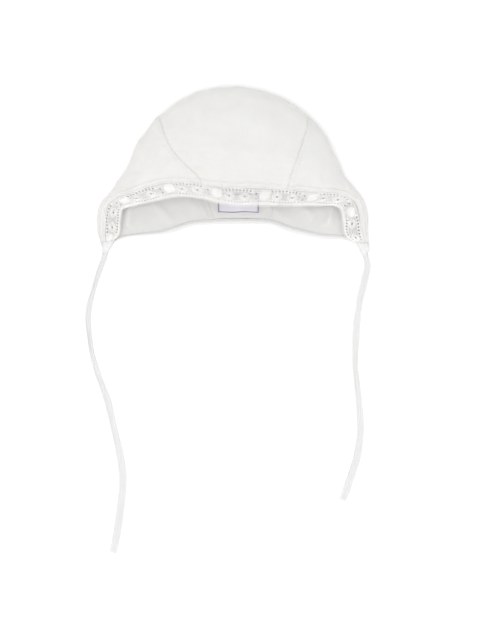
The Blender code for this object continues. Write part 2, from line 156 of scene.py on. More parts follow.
Section = namedtuple(
    "Section", "outline_x outline_y front_x front_y neck_x neck_y front_rise crown_rise fold"
)
SECTIONS = table_of(
    Section,
    (-0.97, -0.97, -0.89, -0.92, -0.88, -0.93, 0.18, 0.11, 0.32),
    (-1.00, -0.78, -0.84, -0.82, -0.79, -0.87, 0.25, 0.18, 0.36),
    (-1.00, -0.59, -0.83, -0.65, -0.68, -0.85, 0.34, 0.24, 0.42),
    (-0.97, -0.42, -0.81, -0.52, -0.60, -0.84, 0.44, 0.32, 0.48),
    (-0.89, -0.28, -0.73, -0.48, -0.51, -0.83, 0.56, 0.42, 0.56),
    (-0.80, -0.03, -0.57, -0.42, -0.40, -0.78, 0.81, 0.64, 0.68),
    (-0.69, 0.34, -0.40, -0.37, -0.30, -0.73, 0.98, 0.87, 0.80),
    (-0.54, 0.64, -0.24, -0.39, -0.19, -0.71, 1.01, 0.99, 0.92),
    (-0.29, 0.92, -0.10, -0.45, -0.07, -0.70, 1.02, 1.01, 1.00),
    (0.01, 1.00, 0.04, -0.48, 0.05, -0.70, 1.00, 1.00, 1.00),
    (0.32, 0.89, 0.18, -0.48, 0.17, -0.70, 0.97, 0.99, 1.00),
    (0.55, 0.64, 0.32, -0.48, 0.29, -0.72, 0.92, 0.94, 0.92),
    (0.70, 0.33, 0.46, -0.48, 0.40, -0.79, 0.83, 0.82, 0.80),
    (0.80, -0.05, 0.61, -0.48, 0.52, -0.84, 0.70, 0.62, 0.68),
    (0.90, -0.28, 0.73, -0.47, 0.64, -0.88, 0.54, 0.43, 0.56),
    (0.97, -0.42, 0.79, -0.52, 0.75, -0.89, 0.42, 0.32, 0.48),
    (1.00, -0.60, 0.81, -0.66, 0.83, -0.90, 0.33, 0.24, 0.42),
    (1.00, -0.80, 0.83, -0.84, 0.91, -0.94, 0.25, 0.18, 0.36),
    (1.00, -1.00, 0.93, -0.96, 0.94, -0.98, 0.18, 0.11, 0.32),
)
SeamPoint = namedtuple("SeamPoint", "across section")
LEFT_SEAM = table_of(
    SeamPoint,
    (-0.10, 7.60), (0.00, 7.50), (0.10, 7.33), (0.20, 7.05),
    (0.32, 6.88), (0.48, 6.86), (0.70, 6.94), (1.00, 7.00),
    (1.60, 7.08), (2.40, 7.20), (3.00, 7.30), (3.40, 7.35),
)
RIGHT_SEAM = table_of(
    SeamPoint,
    (-0.10, 11.42), (0.00, 11.32), (0.10, 11.20), (0.20, 11.15),
    (0.32, 11.14), (0.48, 11.13), (0.70, 11.10), (1.00, 11.00),
    (1.60, 10.92), (2.40, 10.80), (3.00, 10.70), (3.40, 10.65),
)

Wrinkle = namedtuple("Wrinkle", "start_x start_y end_x end_y width height")
WRINKLES = table_of(
    Wrinkle,
    (-0.30, -0.17, 0.28, -0.17, 0.05, 0.45),
    (0.00, 0.36, 0.22, 0.20, 0.10, -0.80),
    (-0.20, 0.50, 0.18, 0.55, 0.14, 0.50),
    (-0.25, 0.17, -0.14, 0.05, 0.06, -0.45),
    (-0.62, 0.10, -0.74, -0.28, 0.08, 0.60),
    (-0.48, 0.08, -0.62, -0.24, 0.07, -0.55),
    (0.58, 0.10, 0.70, -0.22, 0.08, 0.65),
    (0.70, -0.38, 0.86, -0.24, 0.06, -0.90),
    (0.44, 0.40, 0.50, 0.12, 0.09, -0.50),
)
# Small soft creases of the crown, which fade out at their ends
CREASES = table_of(
    Wrinkle,
    (-0.33, 0.20, -0.30, 0.05, 0.020, -0.30),
    (-0.22, 0.19, -0.18, 0.08, 0.018, -0.30),
    (0.02, 0.50, 0.30, 0.26, 0.035, -0.34),
    (-0.02, 0.30, 0.20, 0.10, 0.040, 0.30),
    (-0.10, 0.05, 0.02, 0.30, 0.030, 0.22),
    (0.22, 0.02, 0.34, 0.30, 0.030, 0.24),
    (0.46, -0.10, 0.50, 0.22, 0.026, -0.26),
    (0.34, 0.60, 0.24, 0.80, 0.030, -0.24),
    (-0.34, 0.70, -0.24, 0.44, 0.030, -0.26),
    (-0.58, -0.06, -0.50, 0.24, 0.026, 0.26),
    (-0.70, -0.10, -0.66, 0.12, 0.022, -0.26),
    (0.66, -0.22, 0.68, 0.06, 0.024, -0.28),
    (0.10, 0.90, 0.12, 0.62, 0.030, 0.18),
)
# Soft folds of the back layer, which lies on the ground: all of them rise
BACK_FOLDS = table_of(
    Wrinkle,
    (-0.36, -0.30, -0.24, -0.60, 0.040, 0.42),
    (0.42, -0.34, 0.60, -0.62, 0.045, 0.46),
    (-0.76, -0.40, -0.78, -0.74, 0.030, 0.50),
    (0.74, -0.40, 0.70, -0.74, 0.035, 0.62),
    (0.20, -0.42, 0.50, -0.78, 0.030, 0.34),
    (-0.60, -0.40, -0.44, -0.70, 0.035, 0.34),
)

TiePoint = namedtuple("TiePoint", "x y lifted")
LEFT_TIE_ROUTE = table_of(
    TiePoint,
    (-0.0945, -0.0512, 1), (-0.0946, -0.0575, 1), (-0.0970, -0.0675, 0),
    (-0.1005, -0.0773, 0), (-0.1046, -0.0893, 0), (-0.1078, -0.1028, 0),
    (-0.1088, -0.1140, 0), (-0.1077, -0.1245, 0), (-0.1055, -0.1380, 0),
    (-0.1020, -0.1520, 0), (-0.0980, -0.1635, 0), (-0.0938, -0.1763, 0),
    (-0.0901, -0.1928, 0), (-0.0860, -0.2100, 0), (-0.0831, -0.2265, 0),
    (-0.0829, -0.2400, 0), (-0.0846, -0.2565, 0), (-0.0869, -0.2730, 0),
    (-0.0900, -0.2885, 0),
)
RIGHT_TIE_ROUTE = table_of(
    TiePoint,
    (0.0965, -0.0535, 1), (0.0974, -0.0600, 1), (0.1006, -0.0728, 0),
    (0.0988, -0.0840, 0), (0.0955, -0.0975, 0), (0.0932, -0.1125, 0),
    (0.0921, -0.1290, 0), (0.0918, -0.1463, 0), (0.0930, -0.1610, 0),
    (0.0945, -0.1763, 0), (0.0953, -0.1898, 0), (0.0950, -0.2033, 0),
    (0.0930, -0.2165, 0), (0.0896, -0.2280, 0), (0.0855, -0.2400, 0),
    (0.0821, -0.2490, 0),
)
TieWidth = namedtuple("TieWidth", "along width")
LEFT_TIE_WIDTHS = table_of(
    TieWidth,
    (0.00, 0.62), (0.05, 0.62), (0.12, 0.66), (0.165, 0.42),
    (0.20, 0.58), (0.26, 0.72), (0.31, 0.40), (0.36, 0.40),
    (0.41, 0.58), (0.44, 0.66), (0.47, 0.55), (0.50, 0.78),
    (0.53, 0.90), (0.58, 0.74), (0.65, 0.84), (0.74, 1.00),
    (0.80, 0.88), (0.85, 1.00), (1.00, 1.00),
)
RIGHT_TIE_WIDTHS = table_of(
    TieWidth,
    (0.00, 0.55), (0.05, 0.44), (0.10, 0.78), (0.14, 0.94),
    (0.23, 0.88), (0.27, 0.70), (0.32, 0.94), (0.37, 0.92),
    (0.43, 0.76), (0.49, 0.55), (0.54, 0.62), (0.58, 0.76),
    (0.62, 0.66), (0.69, 0.90), (0.76, 0.82), (0.80, 1.00),
    (0.90, 1.00), (1.00, 0.92),
)

# Lace motif: one repeat along the band. Places and half sizes are shares of the repeat's length
# and of the band's width, measured from the free edge.
Opening = namedtuple("Opening", "along across half_long half_wide")
EYELETS = (Opening(0.26, 0.46, 0.066, 0.120), Opening(0.58, 0.46, 0.066, 0.120))
SMALL_EYELETS = (Opening(0.82, 0.62, 0.034, 0.085), Opening(0.82, 0.32, 0.034, 0.085))
Ladder = namedtuple("Ladder", "low high first last bars arch")
LADDERS = (Ladder(0.68, 0.81, 0.12, 0.72, 10, 0.075), Ladder(0.13, 0.27, 0.12, 0.72, 10, -0.060))
BLOB_ACROSS = 0.50

# Places across the cloth, from 0 at the front edge over the crown and under to the neck
OUTLINE_FOLD = 1.0
BACK_LAYER = 2.0
NECK_EDGE = 3.0
SECTION_ROWS = np.array(SECTIONS)
LAST_SECTION = len(SECTIONS) - 1
MIDDLE_SECTION = LAST_SECTION / 2


# Shape of the bonnet


def through(rows, at):
    """The values between a table's rows, on a smooth curve that passes through each row."""
    at = np.asarray(at, float)
    start = np.clip(np.floor(at).astype(int), 0, len(rows) - 2)
    share = (at - start)[..., None]
    wide = np.vstack((2 * rows[0] - rows[1], rows, 2 * rows[-1] - rows[-2]))
    before, here, there, after = (wide[start + step] for step in range(4))
    square, cube = share**2, share**3
    return (
        (2 * cube - 3 * square + 1) * here
        + (cube - 2 * square + share) * (there - before) / 2
        + (3 * square - 2 * cube) * there
        + (cube - square) * (after - here) / 2
    )


def outline_middle():
    outline = through(SECTION_ROWS, np.linspace(0, LAST_SECTION, LAST_SECTION * 40))[:, :2]
    return (outline.min(axis=0) + outline.max(axis=0)) / 2


MIDDLE = outline_middle()


def plan(shares):
    """A place in metres from shares of half the width and half the length."""
    return (np.asarray(shares) - MIDDLE) * (HAT_WIDTH / 2, HAT_LENGTH / 2)


def smooth(share):
    share = np.clip(share, 0.0, 1.0)
    return share * share * (3 - 2 * share)


def fold_heights(place, table, fading):
    """How far a table's folds lift the cloth at places in plan."""
    starts = plan([(fold.start_x, fold.start_y) for fold in table])
    runs = plan([(fold.end_x, fold.end_y) for fold in table]) - starts
    total = np.zeros(place.shape[:-1])
    for fold, start, run in zip(table, starts, runs):
        away = place - start
        share = np.clip(away @ run / (run @ run), 0, 1)
        aside = np.linalg.norm(away - share[..., None] * run, axis=-1)
        bump = np.exp(-((aside / (fold.width * HAT_WIDTH / 2)) ** 2))
        if fading:
            bump = bump * np.sqrt(np.maximum(4 * share * (1 - share), 0.0))
        total += fold.height * WRINKLE_HEIGHT * bump
    return total


def surface(at, across):
    """Points of the outer surface. across runs from 0 at the front edge to OUTLINE_FOLD at the
    outline, to BACK_LAYER where the cloth meets the ground, to NECK_EDGE."""
    at, across = np.broadcast_arrays(np.asarray(at, float), np.asarray(across, float))
    row = through(SECTION_ROWS, at)
    outline, front, neck = (plan(row[..., first:first + 2]) for first in (0, 2, 4))
    front_rise, crown_rise = row[..., 6] * FRONT_RISE, row[..., 7] * CROWN_RISE
    fold = row[..., 8] * FOLD_RADIUS
    angle = np.clip(across, 0, OUTLINE_FOLD) * math.pi / 2
    reach = np.sin(angle) ** (2 / CROWN_SQUARENESS)
    drop = np.maximum(np.cos(angle), 0.0) ** (2 / CROWN_SQUARENESS)
    top = front + (outline - front) * reach[..., None]
    crest = front_rise + (crown_rise - front_rise) * smooth(reach / CREST_REACHED)
    top_height = fold + (crest - fold) * drop + fold_heights(top, WRINKLES, False) * drop**2
    inward = (neck - outline) / np.linalg.norm(neck - outline, axis=-1)[..., None]
    turn = np.clip(across - OUTLINE_FOLD, 0, 1) * math.pi / 2
    back = outline + inward * (fold * (1 - np.cos(turn)))[..., None]
    run = neck - outline - inward * fold[..., None]
    back = back + run * np.maximum(across - BACK_LAYER, 0)[..., None]
    back_height = fold * (1 - np.sin(turn))
    is_top = across <= OUTLINE_FOLD
    place = np.where(is_top[..., None], top, back)
    height = np.where(is_top, top_height, back_height)
    return np.concatenate((place, height[..., None]), axis=-1)


def unit(vectors):
    return vectors / np.maximum(np.linalg.norm(vectors, axis=-1), 1e-12)[..., None]


def run_lengths(points):
    """How far along a line each of its points lies."""
    return np.concatenate(([0.0], np.cumsum(np.linalg.norm(np.diff(points, axis=0), axis=1))))


def read_off(marks, along, table):
    """Each column of a table at marks between its own lengths."""
    return np.stack([np.interp(marks, along, column) for column in table.T], axis=-1)


PROBE = 0.004


def stretch_at(at, across):
    """How many metres of cloth one section number takes up."""
    apart = surface(at + PROBE, across) - surface(at - PROBE, across)
    return np.linalg.norm(apart, axis=-1) / (2 * PROBE)


def normal_at(at, across):
    """The way out of the cloth."""
    along = surface(at + PROBE, across) - surface(at - PROBE, across)
    over = surface(at, across + PROBE) - surface(at, np.maximum(across - PROBE, 0))
    return unit(np.cross(along, over))


def between(table, rows, columns):
    """Values of a table between its rows and columns."""
    low_row = np.clip(np.floor(rows).astype(int), 0, len(table) - 2)
    low_column = np.clip(np.floor(columns).astype(int), 0, len(table[0]) - 2)
    row_share = np.clip(rows - low_row, 0, 1)
    column_share = np.clip(columns - low_column, 0, 1)
    if table.ndim == 3:
        row_share, column_share = row_share[..., None], column_share[..., None]
    low = table[low_row, low_column] * (1 - column_share)
    low = low + table[low_row, low_column + 1] * column_share
    high = table[low_row + 1, low_column] * (1 - column_share)
    high = high + table[low_row + 1, low_column + 1] * column_share
    return low * (1 - row_share) + high * row_share


AT_STEPS = 40
ACROSS_STEPS = 120
DISTANCE_STEP = 0.00025
AT_TABLE = np.linspace(0, LAST_SECTION, LAST_SECTION * AT_STEPS + 1)
ACROSS_TABLE = np.linspace(0, OUTLINE_FOLD, ACROSS_STEPS + 1)
TOP_POINTS = surface(AT_TABLE[:, None], ACROSS_TABLE[None, :])
TOP_STEPS = np.linalg.norm(np.diff(TOP_POINTS, axis=1), axis=-1)
DISTANCES = np.concatenate((np.zeros((len(AT_TABLE), 1)), np.cumsum(TOP_STEPS, axis=1)), axis=1)
DISTANCE_MARKS = np.arange(0, DISTANCES.max() + DISTANCE_STEP, DISTANCE_STEP)
ACROSS_OF = np.array([np.interp(DISTANCE_MARKS, row, ACROSS_TABLE) for row in DISTANCES])


def distance_at(at, across):
    """How far over the top a place lies from the front edge."""
    return between(DISTANCES, at * AT_STEPS, np.clip(across, 0, 1) * ACROSS_STEPS)


def across_at(at, distance):
    """The place that lies so far over the top from the front edge."""
    return between(ACROSS_OF, at * AT_STEPS, distance / DISTANCE_STEP)


def lace_width_at(at):
    """The band is whole along the front and narrows into the tie corners."""
    row = through(SECTION_ROWS, at)
    room = np.linalg.norm(plan(row[..., 0:2]) - plan(row[..., 2:4]), axis=-1)
    return np.minimum(LACE_WIDTH, room * LACE_SHARE_AT_CORNER)


def seam_at(seam, across):
    """The section number that a seam follows at places across the cloth."""
    fine = through(np.array(seam), np.linspace(0, len(seam) - 1, 40 * len(seam)))
    return np.interp(across, fine[:, 0], fine[:, 1])


# Relief of the cloth

LATTICE = unit(np.random.default_rng(11).normal(size=(24, 24, 24, 3)))


def noise(points, size):
    """Smooth values from about -1 to 1 that change over that size."""
    scaled = points / size
    cell = np.floor(scaled).astype(int)
    share = scaled - cell
    ease = share**3 * (share * (share * 6 - 15) + 10)
    total = np.zeros(points.shape[:-1])
    for corner in product((0, 1), repeat=3):
        index = (cell + corner) % len(LATTICE)
        slope = LATTICE[index[..., 0], index[..., 1], index[..., 2]]
        weight = np.prod(np.where(np.array(corner) == 1, ease, 1 - ease), axis=-1)
        total += weight * (slope * (share - corner)).sum(axis=-1)
    return total * 1.6


def plateau(distance, width, edge=0.0005):
    """1 from 0 to width and 0 outside, with soft edges."""
    return smooth((distance + edge) / edge) * smooth((width - distance + edge) / edge)


def seam_aside(seam, at, across):
    """How far a place lies from a seam: less than 0 to the seam's left."""
    return (at - seam_at(seam, across)) * stretch_at(at, across)


def beyond_lace(at, across):
    """How far over the top a place lies from the lace's sewn edge."""
    return distance_at(at, across) - lace_width_at(at)


def sewn_relief(at, across, base):
    """The seams, the hem and the puckers that their stitches draw in, outward."""
    over = distance_at(at, across) + np.maximum(across - OUTLINE_FOLD, 0) * METRES_PAST_OUTLINE
    wander = noise(base, 0.02)
    lift = np.zeros(at.shape)
    for seam, felled_side in ((LEFT_SEAM, -1), (RIGHT_SEAM, 1)):
        aside = seam_aside(seam, at, across)
        lift -= SEAM_VALLEY * np.exp(-((aside / SEAM_VALLEY_WIDTH) ** 2))
        felled = aside * felled_side - SEAM_SOFTNESS
        lift += SEAM_RIDGE * plateau(felled, SEAM_ALLOWANCE + SEAM_SOFTNESS)
        waves = np.sin(math.tau * over / PUCKER_PITCH + 3.0 * wander)
        near = np.exp(-((np.abs(aside) / PUCKER_REACH) ** 1.5))
        lift += PUCKER_HEIGHT * waves * near * smooth(np.abs(aside) / SEAM_VALLEY_WIDTH)
    past = beyond_lace(at, across)
    on_top = across <= OUTLINE_FOLD
    hem = np.sin(math.pi * np.clip(past / HEM_WIDTH, 0, 1)) ** 0.7
    lift += np.where(on_top, HEM_RIDGE * hem, 0.0)
    valley = np.exp(-(((past - HEM_WIDTH - 0.0003) / HEM_VALLEY_WIDTH) ** 2))
    lift -= np.where(on_top, HEM_VALLEY * valley, 0.0)
    gather = np.sin(math.tau * base[..., 0] / GATHER_PITCH + 3.5 * wander)
    fade = np.exp(-((np.maximum(past, 0) / GATHER_REACH) ** 1.3))
    lift += np.where(on_top, PUCKER_HEIGHT * 0.9 * gather * fade, 0.0)
    return lift


def crumple(base):
    """The uneven give of worn, washed cotton."""
    large = noise(base * (1.0, 1.25, 1.0), LARGE_CRUMPLE)
    bent = base + 0.004 * large[..., None]
    return LARGE_CRUMPLE_HEIGHT * large + SMALL_CRUMPLE_HEIGHT * noise(bent, SMALL_CRUMPLE)


def cloth(at, across):
    """Points of the finished outer surface and the way out at each."""
    at, across = np.broadcast_arrays(np.asarray(at, float), np.asarray(across, float))
    base = surface(at, across)
    out = normal_at(at, across)
    on_back = smooth((across - OUTLINE_FOLD) / (BACK_LAYER - OUTLINE_FOLD))
    drop = np.maximum(np.cos(np.clip(across, 0, 1) * math.pi / 2), 0)
    lift = sewn_relief(at, across, base) * (1 - on_back)
    lift += crumple(base) * (1 - on_back)
    lift += fold_heights(base[..., :2], CREASES, True) * np.where(across < 1, drop, 0)
    round_the_fold = np.exp(-(((across - OUTLINE_FOLD) / 0.35) ** 2))
    turn = np.sin(math.tau * base[..., 0] / SCALLOP_PITCH + 2.5 * noise(base, 0.03))
    lift += SCALLOP_HEIGHT * (turn - 0.6) * round_the_fold
    rise = np.abs(crumple(base + 0.31)) * 0.6
    rise += fold_heights(base[..., :2], BACK_FOLDS, True)
    edge = smooth((NECK_EDGE - across) / 0.30) * smooth((across - BACK_LAYER) / 0.15)
    lift -= rise * edge
    narrow = smooth((at + 0.2) / 1.6) * smooth((LAST_SECTION - at + 0.2) / 1.6)
    return base + out * (lift * narrow)[..., None], out


def wall(at, across):
    """How thick the cloth is: doubled in the seams and in the hem."""
    depth = np.full(at.shape, CLOTH)
    for seam in (LEFT_SEAM, RIGHT_SEAM):
        aside = np.abs(seam_aside(seam, at, across))
        depth += SEAM_DOUBLING * smooth((SEAM_ALLOWANCE - aside) / SEAM_SOFTNESS + 0.5)
    past = beyond_lace(at, across)
    depth += np.where(across <= OUTLINE_FOLD, HEM_DOUBLING * plateau(past, HEM_WIDTH), 0.0)
    narrow = smooth(at / 1.2) * smooth((LAST_SECTION - at) / 1.2)
    return CLOTH * 0.7 + (depth - CLOTH * 0.7) * narrow


# Meshes

SHARP_ANGLE = math.radians(55)


def mesh_piece(name, points, faces, material, uvs=None, sharp=True):
    """A piece on the root body from points and faces, with a map in metres of cloth."""
    mesh = bpy.data.meshes.new(name)
    mesh.from_pydata(points.tolist(), [], faces)
    if uvs is not None:
        layer = mesh.uv_layers.new(name="weave")
        corners = np.zeros(len(mesh.loops), int)
        mesh.loops.foreach_get("vertex_index", corners)
        layer.uv.foreach_set("vector", uvs[corners].astype(np.float32).ravel())
    mesh.shade_smooth()
    if sharp:
        mesh.set_sharp_from_angle(angle=SHARP_ANGLE)
    mesh.materials.append(material)
    obj = bpy.data.objects.new(name, mesh)
    bpy.context.scene.collection.objects.link(obj)
    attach(obj, "root")
    return obj


def grid_faces(rows, columns, closed=False, first=0):
    """Four-sided faces of a grid of points, wound so that row by column faces out."""
    index = first + np.arange(rows * columns).reshape(rows, columns)
    beside = np.roll(index, -1, axis=1) if closed else index[:, 1:]
    here = index if closed else index[:, :-1]
    return np.stack((here[:-1], beside[:-1], beside[1:], here[1:]), axis=-1).reshape(-1, 4)


def even_map(steps, marks):
    """Metres round and along a tube, ring by ring."""
    return np.stack(np.broadcast_arrays(steps, marks[:, None]), axis=-1).reshape(-1, 2)


def cloth_map(points):
    """Metres along and across the cloth from the middle of a grid."""
    along = np.linalg.norm(np.diff(points, axis=1), axis=-1)
    along = np.concatenate((np.zeros((len(points), 1)), np.cumsum(along, axis=1)), axis=1)
    along -= along[:, along.shape[1] // 2][:, None]
    over = np.linalg.norm(np.diff(points, axis=0), axis=-1)
    over = np.concatenate((np.zeros((1, points.shape[1])), np.cumsum(over, axis=0)), axis=0)
    return np.stack((along, over), axis=-1)


def shell(name, outer, inner, material, flat_points=None):
    """A sheet of cloth with both its faces and its edges. flat_points are the same grid without
    wrinkles, for even threads."""
    rows, columns = outer.shape[:2]
    count = rows * columns
    outside = grid_faces(rows, columns)
    inside = grid_faces(rows, columns, first=count)[:, ::-1]
    index = np.arange(count).reshape(rows, columns)
    rim = np.concatenate((index[0, :-1], index[:-1, -1], index[-1, :0:-1], index[:0:-1, 0]))
    after = np.roll(rim, -1)
    edge = np.stack((after, rim, rim + count, after + count), axis=-1)
    points = np.concatenate((outer.reshape(-1, 3), inner.reshape(-1, 3)))
    flat = cloth_map(outer if flat_points is None else flat_points).reshape(-1, 2)
    uvs = np.concatenate((flat, flat + 0.013))
    faces = np.concatenate((outside, inside, edge)).tolist()
    return mesh_piece(name, points, faces, material, uvs)


class Threads:
    """Many round threads that become one piece."""

    def __init__(self):
        self.points, self.faces, self.ends, self.count = [], [], [], 0

    def add(self, points, ups, radius, sides=5, flat=1.0, closed=False):
        """A thread through points. ups are the ways out of the cloth at each."""
        points = np.asarray(points, float)
        if closed:
            ways = unit(np.roll(points, -1, axis=0) - np.roll(points, 1, axis=0))
        else:
            ways = unit(np.gradient(points, axis=0))
        aside = unit(np.cross(ways, np.broadcast_to(ups, points.shape)))
        above = np.cross(aside, ways)
        angles = (np.arange(sides) + 0.5) * math.tau / sides
        radius = np.broadcast_to(radius, len(points))[:, None, None]
        ring = np.cos(angles)[:, None] * aside[:, None]
        ring = ring + flat * np.sin(angles)[:, None] * above[:, None]
        rings = points[:, None] + radius * ring
        rows = len(points)
        if closed:
            rings = np.concatenate((rings, rings[:1]))
            rows += 1
        self.points.append(rings.reshape(-1, 3))
        self.faces.append(grid_faces(rows, sides, closed=True, first=self.count)[:, ::-1])
        if not closed:
            last = self.count + (rows - 1) * sides
            self.ends.append(tuple(range(self.count, self.count + sides)))
            self.ends.append(tuple(range(last + sides - 1, last - 1, -1)))
        self.count += rows * sides

    def finish(self, name, material):
        faces = np.concatenate(self.faces).tolist() + self.ends
        return mesh_piece(name, np.concatenate(self.points), faces, material, sharp=False)


def resampled(points, ups, step):
    """A line again with points about step apart, and the ways out there."""
    along = run_lengths(points)
    marks = np.linspace(0, along[-1], max(2, round(along[-1] / step) + 1))
    return read_off(marks, along, points), unit(read_off(marks, along, ups)), marks


# One stitch: shares of its length, then its height and its thickness as shares of the radius
STITCH_SHARES = np.array((-0.5, -0.38, 0.0, 0.38, 0.5))
STITCH_HEIGHTS = np.array((-0.9, 0.35, 0.75, 0.35, -0.9))
STITCH_SIZES = np.array((0.7, 1.0, 1.1, 1.0, 0.7))


def stitch_row(threads, points, ups, stitch=SEAM_STITCH):
    """Single stitches along a line on the cloth, each dipping in at its ends."""
    pitch, length, radius = stitch
    even, out, marks = resampled(points, ups, length / 4)
    for middle in np.arange(pitch / 2, marks[-1] - pitch / 2, pitch):
        spots = middle + STITCH_SHARES * length
        up = unit(read_off(spots, marks, out))
        place = read_off(spots, marks, even) + up * (STITCH_HEIGHTS * radius)[:, None]
        threads.add(place, up, radius * STITCH_SIZES)


# Materials


class Nodes:
    """Short calls for a material's nodes."""

    def __init__(self, name):
        self.material = bpy.data.materials.new(name)
        self.material.use_nodes = True
        self.tree = self.material.node_tree
        self.shader = self.tree.nodes["Principled BSDF"]

    def feed(self, made, sources):
        """Links or values for a node's inputs."""
        for socket, source in sources.items():
            if isinstance(source, bpy.types.NodeSocket):
                self.tree.links.new(source, made.inputs[socket])
            else:
                made.inputs[socket].default_value = source

    def node(self, kind, sources=None, **values):
        made = self.tree.nodes.new(kind)
        for key, value in values.items():
            setattr(made, key, value)
        self.feed(made, sources or {})
        return made

    def math(self, operation, *sources):
        made = self.node("ShaderNodeMath", dict(enumerate(sources)), operation=operation)
        return made.outputs[0]

    def weighted(self, *parts):
        """The sum of values, each times its weight."""
        products = [self.math("MULTIPLY", value, weight) for value, weight in parts]
        total = products[0]
        for term in products[1:]:
            total = self.math("ADD", total, term)
        return total

    def ranged(self, value, low, high, to_low=0.0, to_high=1.0):
        """A value from one range spread over another, and held at its ends."""
        values = {0: value, 1: low, 2: high, 3: to_low, 4: to_high}
        return self.node("ShaderNodeMapRange", values).outputs[0]

    def mix(self, share, first, second):
        """The colour that lies that share of the way from first to second."""
        sources = {0: share, 6: (*first, 1), 7: (*second, 1)}
        return self.node("ShaderNodeMix", sources, data_type="RGBA").outputs[2]

    def noise(self, vector, scale, detail=3.0, roughness=0.5):
        values = {"Vector": vector, "Scale": scale, "Detail": detail, "Roughness": roughness}
        return self.node("ShaderNodeTexNoise", values).outputs["Fac"]

    def scaled(self, vector, factors):
        made = self.node("ShaderNodeMapping", {"Vector": vector, "Scale": factors})
        return made.outputs["Vector"]

    def bump(self, height, strength, distance, below=None):
        links = {"Height": height, "Strength": strength, "Distance": distance}
        if below is not None:
            links["Normal"] = below
        return self.node("ShaderNodeBump", links).outputs["Normal"]

    def finish(self, colour, normal, roughness, sheen=0.0, subsurface=0.0):
        self.feed(self.shader, {
            "Base Color": colour, "Normal": normal, "Roughness": roughness,
            "Sheen Weight": sheen, "Sheen Roughness": 0.45, "Specular IOR Level": 0.25,
            "Subsurface Weight": subsurface, "Subsurface Radius": (1.0, 0.96, 0.9),
            "Subsurface Scale": 0.0025,
        })
        return self.material


def thread_side(nodes, place):
    """The round of one thread: 0 at its sides and 1 along its middle."""
    share = nodes.math("FRACT", place)
    away = nodes.math("ABSOLUTE", nodes.math("SUBTRACT", share, 0.5))
    return nodes.math("SUBTRACT", 1.0, nodes.math("POWER", nodes.math("MULTIPLY", away, 2.0), 2.0))


def cloth_places(nodes):
    """Where a point lies on the flat cloth, and where in the piece."""
    flat = nodes.node("ShaderNodeUVMap", uv_map="weave").outputs["UV"]
    return flat, nodes.node("ShaderNodeTexCoord").outputs["Object"]


def woven(name, colour, darker, pitch, strength):
    """Plain-woven cotton: threads that pass over and under each other, thicker and thinner in
    places, with faint streaks along and across."""
    nodes = Nodes(name)
    flat, solid = cloth_places(nodes)
    uneven = nodes.noise(flat, 900.0, 2.0)
    parts = nodes.node("ShaderNodeSeparateXYZ", {0: flat})
    shift = nodes.math("MULTIPLY", nodes.math("SUBTRACT", uneven, 0.5), 0.35)
    along = nodes.math("ADD", nodes.math("DIVIDE", parts.outputs[0], pitch), shift)
    over = nodes.math("ADD", nodes.math("DIVIDE", parts.outputs[1], pitch), shift)
    warp, weft = thread_side(nodes, along), thread_side(nodes, over)
    turns = nodes.math("ADD", nodes.math("FLOOR", along), nodes.math("FLOOR", over))
    odd = nodes.math("ABSOLUTE", nodes.math("MODULO", turns, 2.0))
    half_odd = nodes.math("MULTIPLY", odd, 0.5)
    warp_high = nodes.math("MULTIPLY", warp, nodes.math("ADD", half_odd, 0.5))
    weft_high = nodes.math("MULTIPLY", weft, nodes.math("SUBTRACT", 1.0, half_odd))
    weave = nodes.math("MAXIMUM", warp_high, weft_high)
    streaks = nodes.noise(nodes.scaled(flat, (1800.0, 60.0, 1.0)), 1.0, 3.0)
    cross_streaks = nodes.noise(nodes.scaled(flat, (60.0, 1800.0, 1.0)), 1.0, 3.0)
    slubs = nodes.math("MAXIMUM", streaks, cross_streaks)
    patches = nodes.noise(solid, 45.0, 4.0, 0.6)
    fine = nodes.bump(weave, strength, pitch * 0.5)
    normal = nodes.bump(slubs, 0.35, 0.00025, fine)
    normal = nodes.bump(patches, 0.30, 0.0012, normal)
    # Random patches are the cloth's own uneven tone. The weave and slub terms paint shade into the
    # colour: darker where threads sink under each other and at their sides, lighter where they
    # stand up.
    tone_and_painted_shade = nodes.weighted((patches, 0.6), (slubs, 0.3), (weave, 0.25))
    tone = nodes.mix(nodes.ranged(tone_and_painted_shade, 0.40, 0.85), darker, colour)
    return nodes.finish(tone, normal, nodes.ranged(patches, 0.3, 0.7, 0.78, 0.92), 0.25, 0.45)


def spun(name, colour, darker):
    """Cotton thread: fine twisted fibres, with painted shade that makes it a little darker in its
    hollows.
    """
    nodes = Nodes(name)
    solid = nodes.node("ShaderNodeTexCoord").outputs["Object"]
    fibres = nodes.noise(solid, 2600.0, 3.0, 0.6)
    patches = nodes.noise(solid, 160.0, 3.0, 0.5)
    twist = nodes.node(
        "ShaderNodeTexWave", {"Vector": solid, "Scale": 700.0, "Distortion": 3.0, "Detail": 1.0},
        wave_type="BANDS", bands_direction="DIAGONAL",
    ).outputs["Fac"]
    normal = nodes.bump(nodes.weighted((fibres, 1.0), (twist, 0.6)), 0.5, 0.00008)
    # The fibre noise is also the bump height, so the colour carries painted shade in the thread's
    # hollows. The patches are the thread's own uneven tone.
    share = nodes.weighted((patches, 0.6), (fibres, 0.4))
    tone = nodes.mix(nodes.ranged(share, 0.35, 0.65), darker, colour)
    return nodes.finish(tone, normal, 0.82, 0.2, 0.05)


